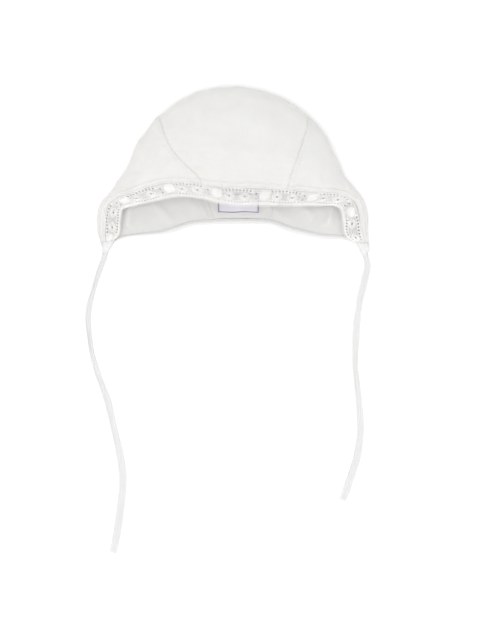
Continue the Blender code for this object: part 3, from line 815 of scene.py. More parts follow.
def satin(name, colour, darker):
    """Woven satin ribbon: long floats along it that shine softly, and a fine rib across."""
    nodes = Nodes(name)
    flat, solid = cloth_places(nodes)
    floats = nodes.noise(nodes.scaled(flat, (500.0, 5200.0, 1.0)), 1.0, 2.0)
    rib = nodes.node(
        "ShaderNodeTexWave", {"Vector": flat, "Scale": 480.0, "Distortion": 0.4},
        wave_type="BANDS", bands_direction="Y",
    ).outputs["Fac"]
    patches = nodes.noise(solid, 120.0, 3.0, 0.5)
    normal = nodes.bump(nodes.weighted((floats, 1.0), (rib, 0.7)), 0.45, 0.00009)
    # The floats are also the bump height, so the colour carries painted shade between the floats
    # and is lighter on them. The patches are the ribbon's own uneven tone.
    share = nodes.weighted((patches, 0.6), (floats, 0.4))
    tone = nodes.mix(nodes.ranged(share, 0.35, 0.68), darker, colour)
    return nodes.finish(tone, normal, nodes.ranged(floats, 0.3, 0.7, 0.34, 0.5), 0.1)


def paper(name, colour, darker):
    """The plain pale sheet underneath."""
    nodes = Nodes(name)
    solid = nodes.node("ShaderNodeTexCoord").outputs["Object"]
    grain = nodes.noise(solid, 400.0, 3.0, 0.6)
    normal = nodes.bump(grain, 0.05, 0.0003)
    tone = nodes.mix(nodes.noise(solid, 3.0, 2.0), darker, colour)
    return nodes.finish(tone, normal, 0.9)


COTTON = woven("fine_cotton", (0.785, 0.778, 0.758), (0.735, 0.728, 0.709), 0.00034, 0.45)
TAPE = woven("cotton_tape", (0.840, 0.838, 0.831), (0.790, 0.788, 0.782), 0.00042, 0.60)
LACE_THREAD = spun("lace_thread", (0.905, 0.899, 0.880), (0.840, 0.834, 0.816))
SEWING_THREAD = spun("sewing_thread", (0.820, 0.820, 0.815), (0.700, 0.700, 0.695))
BORDER_THREAD = spun("border_thread", (0.360, 0.345, 0.420), (0.270, 0.258, 0.330))
LABEL_SATIN = satin("label_satin", (0.760, 0.738, 0.800), (0.690, 0.670, 0.735))
PAPER = paper("pale_paper", (0.930, 0.930, 0.930), (0.900, 0.900, 0.900))


# Camera, light and floor

SKY_OVERHEAD = 0.57
SKY_AT_HORIZON = 1.00
SKY_CHANGES = (0.05, 0.65)
FLOOR_SIZE = 6.0
FLOOR_STEPS = 25
FLOOR_DROP = -0.0002


def make_view():
    scene = bpy.context.scene
    camera_data = bpy.data.cameras.new("camera")
    camera_data.sensor_width = SENSOR
    camera_data.lens = SENSOR * CAMERA_HEIGHT / VIEW_LONG_SIDE
    camera_data.clip_start, camera_data.clip_end = 0.05, 20.0
    camera = bpy.data.objects.new("camera", camera_data)
    camera.location = (*VIEW_CENTRE, CAMERA_HEIGHT)
    scene.collection.objects.link(camera)
    scene.camera = camera
    scene.view_settings.view_transform = "Standard"
    scene.view_settings.look = "None"
    world = bpy.data.worlds.new("studio")
    world.use_nodes = True
    tree = world.node_tree
    background = tree.nodes["Background"]
    background.inputs["Color"].default_value = (1.0, 1.0, 1.0, 1.0)
    direction = tree.nodes.new("ShaderNodeTexCoord")
    parts = tree.nodes.new("ShaderNodeSeparateXYZ")
    spread = tree.nodes.new("ShaderNodeMapRange")
    for index, value in enumerate((*SKY_CHANGES, SKY_AT_HORIZON, SKY_OVERHEAD), 1):
        spread.inputs[index].default_value = value
    tree.links.new(direction.outputs["Generated"], parts.inputs[0])
    tree.links.new(parts.outputs["Z"], spread.inputs["Value"])
    tree.links.new(spread.outputs["Result"], background.inputs["Strength"])
    scene.world = world


def make_lamp(name, place, spread, power):
    """A broad lamp far off in the direction of place."""
    lamp = bpy.data.lights.new(name, "SUN")
    lamp.angle = math.radians(spread)
    lamp.energy = power
    obj = bpy.data.objects.new(name, lamp)
    obj.location = place
    obj.rotation_mode = "QUATERNION"
    obj.rotation_quaternion = (-Vector(place)).to_track_quat("-Z", "Y")
    bpy.context.scene.collection.objects.link(obj)


def make_floor():
    """A large flat sheet under everything."""
    side = np.linspace(-FLOOR_SIZE / 2, FLOOR_SIZE / 2, FLOOR_STEPS)
    x, y = np.meshgrid(side + VIEW_CENTRE[0], side + VIEW_CENTRE[1])
    points = np.stack((x, y, np.full(x.shape, FLOOR_DROP)), axis=-1).reshape(-1, 3)
    mesh = bpy.data.meshes.new("floor")
    mesh.from_pydata(points.tolist(), [], grid_faces(FLOOR_STEPS, FLOOR_STEPS).tolist())
    mesh.materials.append(PAPER)
    floor = bpy.data.objects.new("floor", mesh)
    bpy.context.scene.collection.objects.link(floor)


make_view()
make_lamp("key", place=(-0.52, -0.42, 2.4), spread=34, power=1.13)
make_lamp("fill", place=(0.42, -0.15, 2.4), spread=44, power=0.87)
make_floor()


# Ties


def curl_of(share):
    """How far round a tape must curl for its width to show as that share."""
    turns = np.linspace(1e-3, math.pi, 400)
    shown = np.sin(turns) / turns
    return 2 * np.interp(-share, -shown, turns)


def tie_frames(route, widths):
    """Even points along a tie's middle, the way it runs, and how far it curls there."""
    table = np.array(route, float)
    fine = through(table, np.linspace(0, len(route) - 1, len(route) * 40))
    fine[:, 2] = np.clip(fine[:, 2], 0, 1) * (BINDING_THICKNESS + GAP)
    along = run_lengths(fine)
    marks = np.linspace(0, along[-1], round(along[-1] / TIE_RING_STEP) + 1)
    points = read_off(marks, along, fine)
    ways = unit(np.gradient(points, axis=0))
    shares = np.interp(marks / along[-1], *np.transpose(widths))
    shares = np.pad(shares, TIE_SMOOTHING // 2, mode="edge")
    shares = np.convolve(shares, np.ones(TIE_SMOOTHING) / TIE_SMOOTHING, mode="valid")
    return points, ways, marks, shares


def tie_point(frames, u, lift):
    """Points on a curled tape: u metres aside of its middle and lift above its middle layer."""
    points, ways, marks, shares = frames
    curl = curl_of(np.minimum(shares, 0.995))
    radius = TIE_WIDTH / curl
    lean = TIE_LEAN * np.sin(marks / TIE_LEAN_LENGTH) * (1 - shares)
    angle = (u / TIE_WIDTH + lean) * curl
    side = unit(np.cross(ways, UP))
    reach = radius - lift
    aside = reach * np.sin(angle) - radius * np.sin(lean * curl)
    height = radius - reach * np.cos(angle)
    return points + side * aside[:, None] + UP * height[:, None]


def make_tie(name, node, route, widths):
    """A folded and stitched tape, flat or rolled over, from its corner to its square end."""
    frames = tie_frames(route, widths)
    marks = frames[2]
    half, thick = TIE_WIDTH / 2, TIE_CLOTH / 2
    ripple = TIE_RIPPLE * noise(frames[0], 0.006)
    section = []
    for share in np.linspace(-1, 1, TIE_SIDE_STEPS):
        edge = math.sqrt(max(1 - abs(share) ** 6, 0.0))
        section.append((share * half, thick * (0.35 + 0.65 * edge)))
    ring = [tie_point(frames, u, rise) for u, rise in section]
    ring += [tie_point(frames, u, -rise) for u, rise in reversed(section)]
    rings = np.stack(ring, axis=1)
    heights = rings[:, :, 2]
    heights += ripple[:, None]
    heights += np.maximum(TIE_OFF_FLOOR - heights.min(axis=1), 0)[:, None]
    on_floor = frames[0][:, 2] < 1e-5
    heights -= np.where(on_floor, heights.min(axis=1) - TIE_OFF_FLOOR, 0)[:, None]
    rows, sides = rings.shape[:2]
    flat = even_map(np.arange(sides) * TIE_WIDTH / (TIE_SIDE_STEPS - 1), marks)
    faces = grid_faces(rows, sides, closed=True)[:, ::-1].tolist()
    faces += [list(range(sides)), list(range(rows * sides - 1, (rows - 1) * sides - 1, -1))]
    tape = mesh_piece(name, rings.reshape(-1, 3), faces, TAPE, flat, sharp=False)
    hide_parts(node)
    threads = Threads()
    middle = rings.mean(axis=1)
    shift = heights[:, TIE_SIDE_STEPS // 2] - tie_point(frames, 0.0, thick)[:, 2]
    edge = half - TIE_STITCH_INSET
    for aside in (edge, -edge):
        line = tie_point(frames, aside, thick * 0.95)
        line[:, 2] += shift
        out = unit(tie_point(frames, aside, thick * 2) - tie_point(frames, aside, 0.0))
        stitch_row(threads, line[12:-9], out[12:-9], TIE_EDGE_STITCH)
    across = np.linspace(-edge, edge, 12)
    last = len(marks) - 5
    hem = np.array([tie_point(frames, u, thick * 0.95)[last] for u in across])
    hem[:, 2] += shift[last]
    stitch_row(threads, hem, np.broadcast_to(UP, hem.shape), TIE_END_STITCH)
    stitches = threads.finish(name + "_stitches", SEWING_THREAD)
    length = float(run_lengths(middle)[-1])
    return frames


LEFT_FRAMES = make_tie("tie_left_tape", "tie_left", LEFT_TIE_ROUTE, LEFT_TIE_WIDTHS)
RIGHT_FRAMES = make_tie("tie_right_tape", "tie_right", RIGHT_TIE_ROUTE, RIGHT_TIE_WIDTHS)


# Crown panels

NEAR_LACE = np.array((-0.0010, -0.0004, 0.0, 0.0004, 0.0008, 0.0012, 0.0017, 0.0022, 0.0027,
                      0.0031, 0.0035, 0.0039, 0.0043, 0.0048, 0.0055, 0.0063))
NEAR_SEAM = np.array((0.0, 0.0003, 0.0006, 0.0010, 0.0014, 0.0019, 0.0025, 0.0030, 0.0034,
                      0.0038, 0.0042, 0.0048, 0.0056))
TOP_ROWS = 74
FOLD_ROWS = 8
BACK_ROWS = 62


def panel_rows(at):
    """Places across the cloth for each column, close together near the lace."""
    width = lace_width_at(at)
    whole = between(DISTANCES, at * AT_STEPS, np.full(at.shape, float(ACROSS_STEPS)))
    room = whole - width
    squeeze = np.minimum(1.0, room * 0.5 / NEAR_LACE[-1])
    rows = [across_at(at, np.maximum(width + step * squeeze, 0)) for step in NEAR_LACE]
    first = width + NEAR_LACE[-1] * squeeze
    for share in np.linspace(0, 1, TOP_ROWS + 1)[1:]:
        rows.append(across_at(at, first + (whole - first) * share * 0.9999))
    rows[-1] = np.full(at.shape, OUTLINE_FOLD)
    for share in np.linspace(0, 1, FOLD_ROWS + 1)[1:]:
        rows.append(np.full(at.shape, OUTLINE_FOLD + share * (BACK_LAYER - OUTLINE_FOLD)))
    for share in np.linspace(0, 1, BACK_ROWS + 1)[1:]:
        rows.append(np.full(at.shape, BACK_LAYER + share * (0.985 * NECK_EDGE - BACK_LAYER)))
    return np.array(rows)


def panel_end(low, count):
    """Where a panel's edge crosses each row."""
    ends = np.full(count, low(OUTLINE_FOLD))
    for _ in range(12):
        across = panel_rows(ends)[np.arange(count), np.arange(count)]
        ends = np.array([low(float(value)) for value in across])
    return ends


def spread_columns(low, high, columns, seam_low, seam_high):
    """Section numbers and places of a panel's grid, with columns crowded at its seams."""
    count = len(panel_rows(np.array([low(OUTLINE_FOLD)])))
    starts, ends = panel_end(low, count), panel_end(high, count)
    grid_at = np.empty((count, columns + 1))
    fine = np.linspace(0, 1, 161)
    for row in range(count):
        line_at = starts[row] + (ends[row] - starts[row]) * fine
        line = surface(line_at, panel_rows(line_at)[row])
        along = run_lengths(line)
        total = along[-1]
        squeeze = min(1.0, total * 0.2 / NEAR_SEAM[-1])
        head = NEAR_SEAM * squeeze if seam_low else np.zeros(1)
        tail = total - NEAR_SEAM[::-1] * squeeze if seam_high else np.full(1, total)
        middle = np.linspace(head[-1], tail[0], columns + 3 - len(head) - len(tail))[1:-1]
        grid_at[row] = np.interp(np.concatenate((head, middle, tail)), along, line_at)
    grid_across = np.array([panel_rows(grid_at[row])[row] for row in range(count)])
    return grid_at, grid_across


def make_panel(name, node, low, high, columns, seam_low, seam_high):
    """One panel of the crown and its turned-under back layer, between two lines across it."""
    grid_at, grid_across = spread_columns(low, high, columns, seam_low, seam_high)
    outer, out = cloth(grid_at, grid_across)
    inner = outer - out * wall(grid_at, grid_across)[..., None]
    outer[..., 2] = np.maximum(outer[..., 2], CLOTH_OFF_FLOOR)
    piece = shell(name, outer, inner, COTTON, surface(grid_at, grid_across))
    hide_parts(node)


def left_seam(across):
    return float(seam_at(LEFT_SEAM, across))


def right_seam(across):
    return float(seam_at(RIGHT_SEAM, across))


def left_corner(across):
    return 0.0


def right_corner(across):
    return float(LAST_SECTION)


make_panel("side_left_cloth", "side_panel_left", left_corner, left_seam, 104, False, True)
make_panel("crown_center_cloth", "crown_center_panel", left_seam, right_seam, 112, True, True)
make_panel("side_right_cloth", "side_panel_right", right_seam, right_corner, 104, True, False)


# Stitching of seams and hem


def seam_lines(seam, felled_side):
    """The two lines of stitches along a felled seam, from the lace over the outline."""
    for aside in SEAM_STITCH_LINES:
        across = np.concatenate((np.linspace(0.12, 1.0, 160), np.linspace(1.02, 2.96, 160)))
        at = seam_at(seam, across)
        at = at + felled_side * aside / stretch_at(at, across)
        keep = (across > OUTLINE_FOLD) | (beyond_lace(at, across) > STITCHES_PAST_LACE)
        yield at[keep], across[keep]


def make_seam_stitches():
    for name, seam, side in (("left", LEFT_SEAM, -1), ("right", RIGHT_SEAM, 1)):
        threads = Threads()
        for at, across in seam_lines(seam, side):
            points, out = cloth(at, across)
            top = across <= 1.9
            stitch_row(threads, points[top], out[top])
            inside = across >= 2.0
            depth = wall(at, across)[inside]
            inner = points[inside] - out[inside] * depth[:, None]
            stitch_row(threads, inner, -out[inside])
        piece = threads.finish("seam_stitches_" + name, SEWING_THREAD)


def make_hem_stitches():
    threads = Threads()
    at = np.linspace(0.5, LAST_SECTION - 0.5, 900)
    for past in HEM_STITCH_LINES:
        across = across_at(at, lace_width_at(at) + past)
        points, out = cloth(at, across)
        stitch_row(threads, points, out, HEM_STITCH)
    piece = threads.finish("hem_stitches", SEWING_THREAD)


make_seam_stitches()
make_hem_stitches()


# Lace

LACE_COLUMNS = 620
LACE_ROWS = 28


def lace_surface():
    """The band's own surface as tables over its length and width, and its length."""
    places = np.linspace(0, LAST_SECTION, LAST_SECTION * 10)
    middles = surface(places, across_at(places, lace_width_at(places) / 2))
    along = run_lengths(middles)
    marks = np.linspace(0, along[-1], LACE_COLUMNS)
    at = np.interp(marks, along, places)[:, None]
    shares = np.linspace(0, 1, LACE_ROWS)[None, :]
    across = across_at(np.broadcast_to(at, (LACE_COLUMNS, LACE_ROWS)), lace_width_at(at) * shares)
    points, out = cloth(np.broadcast_to(at, across.shape), across)
    wave = 0.9 * np.sin(marks / 0.0105 + 2.0 * np.sin(marks / 0.031)) + 0.5 * np.sin(marks / 0.0043)
    end = smooth(marks / 0.02) * smooth((marks[-1] - marks) / 0.02)
    points = points + out * (EDGE_WAVE * (wave * end)[:, None] * (1 - shares) ** 1.5)[..., None]
    return points, out, float(along[-1])


LACE_POINTS, LACE_OUT, LACE_LENGTH = lace_surface()


def on_lace(along, across, lift):
    """Points and ways out of the band. across is a share of its width, and may run past it."""
    rows = np.clip(np.asarray(along, float) / LACE_LENGTH, 0, 1) * (LACE_COLUMNS - 1)
    columns = np.broadcast_to(np.asarray(across, float) * (LACE_ROWS - 1), rows.shape)
    inside = np.clip(columns, 0, LACE_ROWS - 1)
    points, out = between(LACE_POINTS, rows, inside), unit(between(LACE_OUT, rows, inside))
    first = between(LACE_POINTS, rows, np.zeros(rows.shape))
    second = between(LACE_POINTS, rows, np.ones(rows.shape))
    past = np.minimum(columns, 0.0)
    points = points + (second - first) * past[..., None]
    return points + out * (LACE_MIDDLE + np.asarray(lift))[..., None], out


def repeats():
    return np.arange(LACE_PLAIN_END, LACE_LENGTH, LACE_REPEAT)


def whole(start, opening):
    end = start + (opening.along + opening.half_long) * LACE_REPEAT
    return end < LACE_LENGTH - LACE_PLAIN_END


def arch_of(ladder, share):
    """How far a ladder has bent across the band at a share of its length."""
    return ladder.arch * np.sin(math.pi * np.clip(share, 0, 1))


def kept_by_openings(along, across):
    """Which points of the band's ground lie outside its openings and solid discs."""
    kept = np.ones(along.shape, bool)
    for start in repeats():
        for eyelet in EYELETS:
            if whole(start, eyelet):
                x = np.abs(along - start - eyelet.along * LACE_REPEAT) / EYELET_LONG
                y = np.abs(across - eyelet.across) * LACE_WIDTH / EYELET_WIDE
                kept &= x ** (2 / LOZENGE) + y ** (2 / LOZENGE) > 1.0
        for eyelet in SMALL_EYELETS:
            if not whole(start, eyelet):
                continue
            middle = start + eyelet.along * LACE_REPEAT
            x = (along - middle) / (eyelet.half_long * LACE_REPEAT)
            y = (across - eyelet.across) / eyelet.half_wide
            kept &= x * x + y * y > 1.0
        for ladder in LADDERS:
            low, high = start + ladder.first * LACE_REPEAT, start + ladder.last * LACE_REPEAT
            within = (along > low) & (along < min(high, LACE_LENGTH - LACE_PLAIN_END))
            rise = arch_of(ladder, (along - low) / (high - low))
            kept &= ~(within & (across > ladder.low + rise) & (across < ladder.high + rise))
        x = (along - start) / BLOB_RADIUS
        y = (across - BLOB_ACROSS) * LACE_WIDTH / BLOB_RADIUS
        kept &= x * x + y * y > 0.85
    return kept


def finish_lace(threads, name):
    piece = threads.finish(name, LACE_THREAD)
    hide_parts("lace_trim")


def make_net():
    """The ground of the lace: rows of thread that sway and catch each other."""
    threads = Threads()
    rows = round(LACE_WIDTH / NET_ROW)
    along = np.arange(0, LACE_LENGTH, NET_CELL / 5)
    for row in range(rows):
        phase = along / NET_CELL + (row % 2) * 0.5
        sway = np.sin(math.tau * phase)
        sway = np.sign(sway) * np.abs(sway) ** 0.6
        across = (row + 0.5 + 0.5 * sway) / rows
        kept = kept_by_openings(along, across)
        lift = NET_LIFT * np.sin(math.tau * phase * 2 + row)
        points, out = on_lace(along, across, lift)
        cuts = np.flatnonzero(np.diff(kept.astype(int))) + 1
        for run in np.split(np.arange(len(along)), cuts):
            if kept[run[0]] and len(run) > 3:
                threads.add(points[run], out[run], NET_RADIUS, sides=4)
    finish_lace(threads, "lace_net")


def thread_on_lace(threads, along, across, lift, radius, sides=5, closed=False):
    points, out = on_lace(np.asarray(along), np.asarray(across), lift)
    threads.add(points, out, radius, sides, closed=closed)


def round_eyelet(angles, middle_along, middle_across, half_long, half_wide):
    """Places on a rounded lozenge, as lengths along the band and shares across it."""
    turn_x, turn_y = np.cos(angles), np.sin(angles)
    along = middle_along + half_long * np.sign(turn_x) * np.abs(turn_x) ** LOZENGE
    across = middle_across + half_wide / LACE_WIDTH * np.sign(turn_y) * np.abs(turn_y) ** LOZENGE
    return along, across


def add_ring(threads, middle_along, middle_across, half_long, half_wide, turns):
    """A cord worked round an opening, some turns side by side."""
    angles = np.arange(28) * math.tau / 28
    for turn in range(turns):
        grown = RING_RADIUS * 1.5 * turn
        along, across = round_eyelet(
            angles, middle_along, middle_across, half_long + grown, half_wide + grown
        )
        lift = RING_LIFT + SECOND_RING_LIFT * turn
        thread_on_lace(threads, along, across, lift, RING_RADIUS, closed=True)


def add_spokes(threads, middle_along, middle_across, first, last, count, radius):
    """Short threads from an inner ring to an outer one. first and last are half sizes."""
    for angle in (np.arange(count) + 0.5) * math.tau / count:
        share = np.linspace(0, 1, 4)
        sizes = [start + (end - start) * share for start, end in zip(first, last)]
        along, across = round_eyelet(
            np.full(4, angle), middle_along, middle_across, sizes[0], sizes[1]
        )
        thread_on_lace(threads, along, across, SPOKE_LIFT, radius, sides=4)


def add_blob(threads, middle):
    """A solid disc of close threads, a little domed, with a cord round it."""
    for cross in (False, True):
        step = BLOB_THREAD * (1.7 if cross else 2.3)
        for aside in np.arange(-BLOB_RADIUS + step, BLOB_RADIUS, step):
            half = math.sqrt(BLOB_RADIUS**2 - aside**2)
            run = np.linspace(-half, half, 7)
            dome = BLOB_DOME * (1 - (run**2 + aside**2) / BLOB_RADIUS**2)
            if cross:
                along, across = np.full(7, middle + aside), BLOB_ACROSS + run / LACE_WIDTH
            else:
                along, across = middle + run, np.full(7, BLOB_ACROSS + aside / LACE_WIDTH)
            lift = dome + (BLOB_CROSS_LIFT if cross else 0.0)
            thread_on_lace(threads, along, across, lift, BLOB_THREAD, sides=4)
    angles = np.arange(30) * math.tau / 30
    along = middle + BLOB_RADIUS * 1.03 * np.cos(angles)
    across = BLOB_ACROSS + BLOB_RADIUS * 1.03 / LACE_WIDTH * np.sin(angles)
    thread_on_lace(threads, along, across, EDGE_LIFT, RING_RADIUS * 0.9, closed=True)


def make_motifs():
    threads = Threads()
    for start in repeats():
        if LACE_PLAIN_END / 2 < start < LACE_LENGTH - LACE_PLAIN_END:
            add_blob(threads, start)
        for eyelet in EYELETS:
            if whole(start, eyelet):
                spot = start + eyelet.along * LACE_REPEAT, eyelet.across
                outer = EYELET_LONG, EYELET_WIDE
                inner = EYELET_LONG * EYELET_INNER, EYELET_WIDE * EYELET_INNER
                add_ring(threads, *spot, *outer, 2)
                add_ring(threads, *spot, *inner, 2)
                add_spokes(threads, *spot, inner, outer, 14, RING_RADIUS * 0.6)
        for eyelet in SMALL_EYELETS:
            if whole(start, eyelet):
                spot = start + eyelet.along * LACE_REPEAT, eyelet.across
                half = eyelet.half_long * LACE_REPEAT, eyelet.half_wide * LACE_WIDTH
                add_ring(threads, *spot, *half, 1)
        for ladder in LADDERS:
            first, last = ladder.first * LACE_REPEAT, ladder.last * LACE_REPEAT
            for share in np.linspace(0, 1, ladder.bars):
                along = start + first + (last - first) * share
                if along > LACE_LENGTH - LACE_PLAIN_END:
                    continue
                height = np.linspace(-0.2, 1.2, 6)
                across = ladder.low + (ladder.high - ladder.low) * height + arch_of(ladder, share)
                lean = (share - 0.5) * 0.0022 * math.copysign(1, ladder.arch) * height
                for beside in (-1, 0, 1):
                    place = along + lean + beside * BAR_RADIUS * 1.5
                    lift = BAR_LIFT if beside == 0 else BAR_SIDE_LIFT
                    thread_on_lace(threads, place, across, lift, BAR_RADIUS, sides=4)
    finish_lace(threads, "lace_motifs")


def make_lace_cords():
    """Cords that frame the ladders, the heading on the hem, and the looped free edge."""
    threads = Threads()
    along = np.linspace(0, LACE_LENGTH, 760)
    flat = np.zeros(along.shape)
    lines = [
        (flat + 0.965, CORD_RADIUS), (flat + 0.065, CORD_RADIUS), (flat + 0.015, CORD_RADIUS * 0.9),
        (0.945 + 0.02 * np.sin(math.tau * along / 0.0012), CORD_RADIUS * 0.6),
    ]
    share = np.mod((along - LACE_PLAIN_END) / LACE_REPEAT, 1.0)
    for ladder in LADDERS:
        bent = arch_of(ladder, (share - ladder.first) / (ladder.last - ladder.first))
        lines += [(ladder.low + bent, CORD_RADIUS * 0.9), (ladder.high + bent, CORD_RADIUS * 0.9)]
    for across, radius in lines:
        thread_on_lace(threads, along, across, CORD_LIFT, radius)
    turn = np.linspace(0, math.pi, 8)
    for middle in np.arange(0.004, LACE_LENGTH - 0.004, PICOT_PITCH):
        loop_along = middle - np.cos(turn) * PICOT_PITCH * 0.42
        loop_across = 0.01 - np.sin(turn) * PICOT_REACH / LACE_WIDTH
        thread_on_lace(threads, loop_along, loop_across, EDGE_LIFT, CORD_RADIUS * 0.65, sides=4)
    finish_lace(threads, "lace_cords")


make_net()
make_motifs()
make_lace_cords()


# Neck binding

BINDING_SECTION = (
    (0.00, 0.82), (0.05, 0.97), (0.16, 1.03), (0.24, 0.90), (0.34, 1.04), (0.55, 1.12),
    (0.78, 1.06), (0.92, 0.88), (1.00, 0.62), (1.01, 0.34), (0.95, 0.12), (0.85, 0.02),
    (0.50, 0.02), (0.10, 0.02), (0.00, 0.06),
)
BINDING_STITCH = (0.24, 0.92)


def binding_frames(count):
    at = np.linspace(0.05, LAST_SECTION - 0.05, count)
    edge = surface(at, np.full(count, NECK_EDGE))
    back = np.linalg.norm(edge - surface(at, np.full(count, BACK_LAYER)), axis=1)
    inner = surface(at, NECK_EDGE - BINDING_WIDTH / back)
    return inner, edge - inner, run_lengths(edge)


def make_binding():
    count = 620
    inner, side, along = binding_frames(count)
    pull = np.abs(np.sin(math.pi * along / SEAM_STITCH.pitch))
    wander = noise(inner, 0.012)
    rings = []
    for share, rise in BINDING_SECTION:
        held = math.exp(-(((share - BINDING_STITCH[0]) / 0.16) ** 2)) if rise > 0.5 else 0.0
        puff = 1 + (0.10 * wander - 0.10 * held * (1 - pull)) * (1 if rise > 0.5 else 0)
        lift = np.maximum(BINDING_THICKNESS * rise * puff, CLOTH_OFF_FLOOR)
        reach = share * (1 + 0.03 * wander)
        rings.append(inner + side * reach[:, None] + UP * lift[:, None])
    grid = np.stack(rings, axis=1)
    sides = len(rings)
    flat = even_map(np.arange(sides) * BINDING_WIDTH / 7, along)
    faces = grid_faces(count, sides, closed=True).tolist()
    piece = mesh_piece("neck_binding_tape", grid.reshape(-1, 3), faces, TAPE, flat)
    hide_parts("neck_binding")
    threads = Threads()
    share, rise = BINDING_STITCH
    line = (inner + side * share + UP * BINDING_THICKNESS * rise)[6:-6]
    stitch_row(threads, line, np.broadcast_to(UP, line.shape))
    stitches = threads.finish("binding_stitches", SEWING_THREAD)


make_binding()


# Label

LABEL_CLOTH = 0.00035
LABEL_OFF_FLOOR = 0.00185
LABEL_WAVES = (0.00022, 0.00016)
LABEL_CURL = 0.00055
LABEL_EDGE_WAVE = 0.0002
LABEL_FOLD = 0.00016
LABEL_STITCH_LIFT = 0.00017
BORDER_INSET = 0.0007
BORDER_RADIUS = 0.00022


def label_place(x, y, lift):
    """Points over the label's face from shares of its half width and half height."""
    neck_y = float(surface(MIDDLE_SECTION, NECK_EDGE)[1])
    middle_y = neck_y + BINDING_WIDTH + LABEL_TO_BINDING + LABEL_HEIGHT / 2
    wave = LABEL_WAVES[0] * np.sin(2.1 * x + 0.6) * np.cos(1.3 * y)
    wave = wave + LABEL_WAVES[1] * np.sin(4.3 * x + 1.2 * y)
    curl = LABEL_CURL * np.maximum(np.abs(x) - 0.82, 0) / 0.18 * np.maximum(-y, 0)
    place_x = LABEL_OFF_CENTRE + x * LABEL_WIDTH / 2
    place_y = middle_y + y * LABEL_HEIGHT / 2 + LABEL_EDGE_WAVE * np.sin(5 * x)
    return np.stack((place_x, place_y, LABEL_OFF_FLOOR + wave + curl + lift), axis=-1)


def label_fold(x):
    """The label's turned-under ends are thicker."""
    return LABEL_FOLD * smooth((np.abs(x) - 0.86) / 0.03)


def make_label():
    rows, columns = 41, 81
    y, x = np.meshgrid(np.linspace(-1, 1, rows), np.linspace(-1, 1, columns), indexing="ij")
    half = LABEL_CLOTH / 2 + label_fold(x)
    top, bottom = label_place(x, y, half), label_place(x, y, -half)
    piece = shell("label_satin", top, bottom, LABEL_SATIN)
    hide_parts("label")
    border = Threads()
    shares = np.linspace(0, 1, 60)
    for inset in (BORDER_INSET, BORDER_INSET + BORDER_RADIUS * 1.7):
        across, over = 1 - inset / (LABEL_WIDTH / 2), 1 - inset / (LABEL_HEIGHT / 2)
        corners = [(-across, -over), (across, -over), (across, over), (-across, over)]
        for start, end in zip(corners, corners[1:] + corners[:1]):
            x = start[0] + (end[0] - start[0]) * shares
            y = start[1] + (end[1] - start[1]) * shares
            lift = LABEL_CLOTH / 2 + label_fold(x) + BORDER_RADIUS * 0.3
            border.add(label_place(x, y, lift), UP, BORDER_RADIUS, flat=0.7)
    piece = border.finish("label_border", BORDER_THREAD)
    threads = Threads()
    for x_share in (-0.90, 0.90):
        shares = np.linspace(-0.86, 0.86, 40)
        line = label_place(np.full(40, x_share), shares, LABEL_CLOTH / 2 + LABEL_STITCH_LIFT)
        stitch_row(threads, line, np.broadcast_to(UP, line.shape), LABEL_STITCH)
    stitches = threads.finish("label_stitches", SEWING_THREAD)


make_label()


# Gathered corners

CORNER_LAYER = 0.00025
CORNER_SIDES = 48
CORNER_STEPS = 34
CORNER_ROOM = 0.0003
CORNER_RIPPLE = 0.00030
CORNER_OFF_FLOOR = 0.00004
CORNER_STITCHES_ABOVE = 0.0006
CORNER_MAP_STEP = 0.0005
CORNER_ANGLES = np.arange(CORNER_SIDES) * math.tau / CORNER_SIDES


def star_ring(ring, middle, side):
    """A closed ring again, at even angles round its middle in the upright plane across it."""
    aside, up = (ring - middle) @ side, ring[:, 2] - middle[2]
    angles = np.unwrap(np.arctan2(up, aside))
    order = np.argsort(angles % math.tau)
    angles, ring = (angles % math.tau)[order], ring[order]
    wide = np.concatenate((angles - math.tau, angles, angles + math.tau))
    ring = read_off(CORNER_ANGLES, wide, np.tile(ring, (3, 1)))
    for _ in range(3):
        ring = (np.roll(ring, 1, axis=0) + 2 * ring + np.roll(ring, -1, axis=0)) / 4
    return ring


def turned_in(ring, along, depth):
    """A ring drawn in a little from an edge, which rounds the edge over."""
    inward = unit(ring.mean(axis=0) - ring) * CORNER_LAYER * 1.6 * depth
    outward = -unit(along) * CORNER_LAYER * 0.9 * math.sin(math.pi * min(depth, 0.5))
    return ring + inward + outward


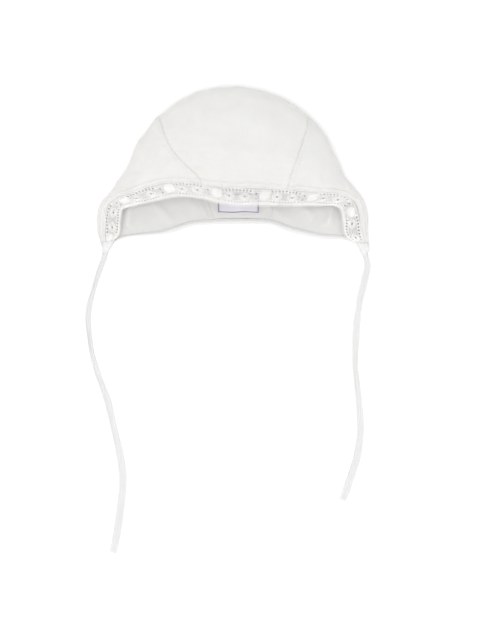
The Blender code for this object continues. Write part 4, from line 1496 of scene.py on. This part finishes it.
def make_corner(name, inset, frames, first, reach, held_low, held_high, fuller):
    """The corner's cloth, drawn together in small gathers round the tie sewn into it. The held
    shares are how far it keeps its width towards lower and higher x. fuller adds width there."""
    across = np.concatenate(
        (np.linspace(0.0, 1.0, 40), np.linspace(1.05, 2.0, 20), np.linspace(2.1, 2.95, 14))
    )
    ring, out = cloth(np.full(len(across), inset), across)
    ring = ring + out * CORNER_LAYER
    closing = np.linspace(0, 1, 14)[1:-1, None]
    ring = np.concatenate((ring, ring[-1] * (1 - closing) + ring[0] * closing))
    points, ways, marks, shares = frames
    middle = (ring.min(axis=0) + ring.max(axis=0)) / 2
    start = star_ring(ring, middle, unit(np.cross(ways[0], UP)))
    angles = CORNER_ANGLES
    turn_x, turn_y = np.cos(angles)[:, None], np.sin(angles)[:, None]
    towards_high = 0.5 - 0.5 * turn_x
    held = held_low + (held_high - held_low) * towards_high
    rings = []
    for share in np.linspace(0, 1, CORNER_STEPS):
        mark = first + (reach - first) * share
        place = read_off(mark, marks, points)
        across_way = unit(np.cross(unit(read_off(mark, marks, ways)), UP))
        shown = float(np.interp(mark, marks, shares))
        curl = float(curl_of(shown))
        tall = (TIE_CLOTH + CORNER_ROOM + TIE_WIDTH / curl * (1 - math.cos(curl / 2))) / 1.8
        half = TIE_WIDTH / 2 * shown + CORNER_ROOM
        tie_ring = place + across_way * (half * turn_x) + UP * (tall * (0.8 + turn_y))
        ease = 1 - (1 - np.maximum(share - held, 0.0) / (1 - held)) ** 1.8
        ring_here = start * (1 - ease) + tie_ring * ease
        travel = (place - middle) * np.array((0.35, 1.0, 0.0)) * min(share * 3, 1.0)
        ring_here = ring_here + travel * (1 - ease)
        ring_here[:, 0] += (fuller * 4 * ease * (1 - ease) * towards_high)[:, 0]
        swell = CORNER_RIPPLE * math.sin(math.pi * min(share * 1.15, 1.0))
        ripple = swell * np.sin(8 * angles + 1.1 * np.sin(3 * angles) + 2.0 * share)
        ring_here = ring_here + (across_way * turn_x + UP * turn_y) * ripple[:, None]
        ring_here[:, 2] = np.maximum(ring_here[:, 2], CORNER_OFF_FLOOR)
        rings.append(ring_here)
    outside = np.array(rings)
    inwards = outside[1] - outside[0], outside[-2] - outside[-1]
    depths = (0.25, 0.75, 1.0)
    rings = [turned_in(outside[0], inwards[0], depth) for depth in reversed(depths)]
    rings += list(outside)
    rings += [turned_in(outside[-1], inwards[1], depth) for depth in depths]
    rings += [rings[-1] + (rings[-1].mean(axis=0) - rings[-1]) * share for share in (0.45, 0.98)]
    grid = np.array(rings)
    grid[..., 2] = np.maximum(grid[..., 2], CORNER_OFF_FLOOR)
    flat = even_map(np.arange(CORNER_SIDES) * CORNER_MAP_STEP, np.linspace(0, reach, len(grid)))
    faces = grid_faces(len(grid), CORNER_SIDES, closed=True)[:, ::-1].tolist()
    piece = mesh_piece(name, grid.reshape(-1, 3), faces, TAPE, flat)
    threads = Threads()
    for ring in (outside[3], outside[-5]):
        out = unit(ring - ring.mean(axis=0))
        keep = ring[:, 2] > CORNER_STITCHES_ABOVE
        turn = int(np.argmin(keep))
        line, up = np.roll(ring, -turn, axis=0), np.roll(out, -turn, axis=0)
        line, up = line[np.roll(keep, -turn)], up[np.roll(keep, -turn)]
        stitch_row(threads, line, up, CORNER_STITCH)
    stitches = threads.finish(name + "_stitches", SEWING_THREAD)


make_corner(
    "corner_gather_left", 0.20, LEFT_FRAMES,
    first=0.0030, reach=0.0125, held_low=0.10, held_high=0.10, fuller=0.0,
)
make_corner(
    "corner_gather_right", LAST_SECTION - 0.30, RIGHT_FRAMES,
    first=0.0020, reach=0.0130, held_low=0.05, held_high=0.38, fuller=0.0012,
)
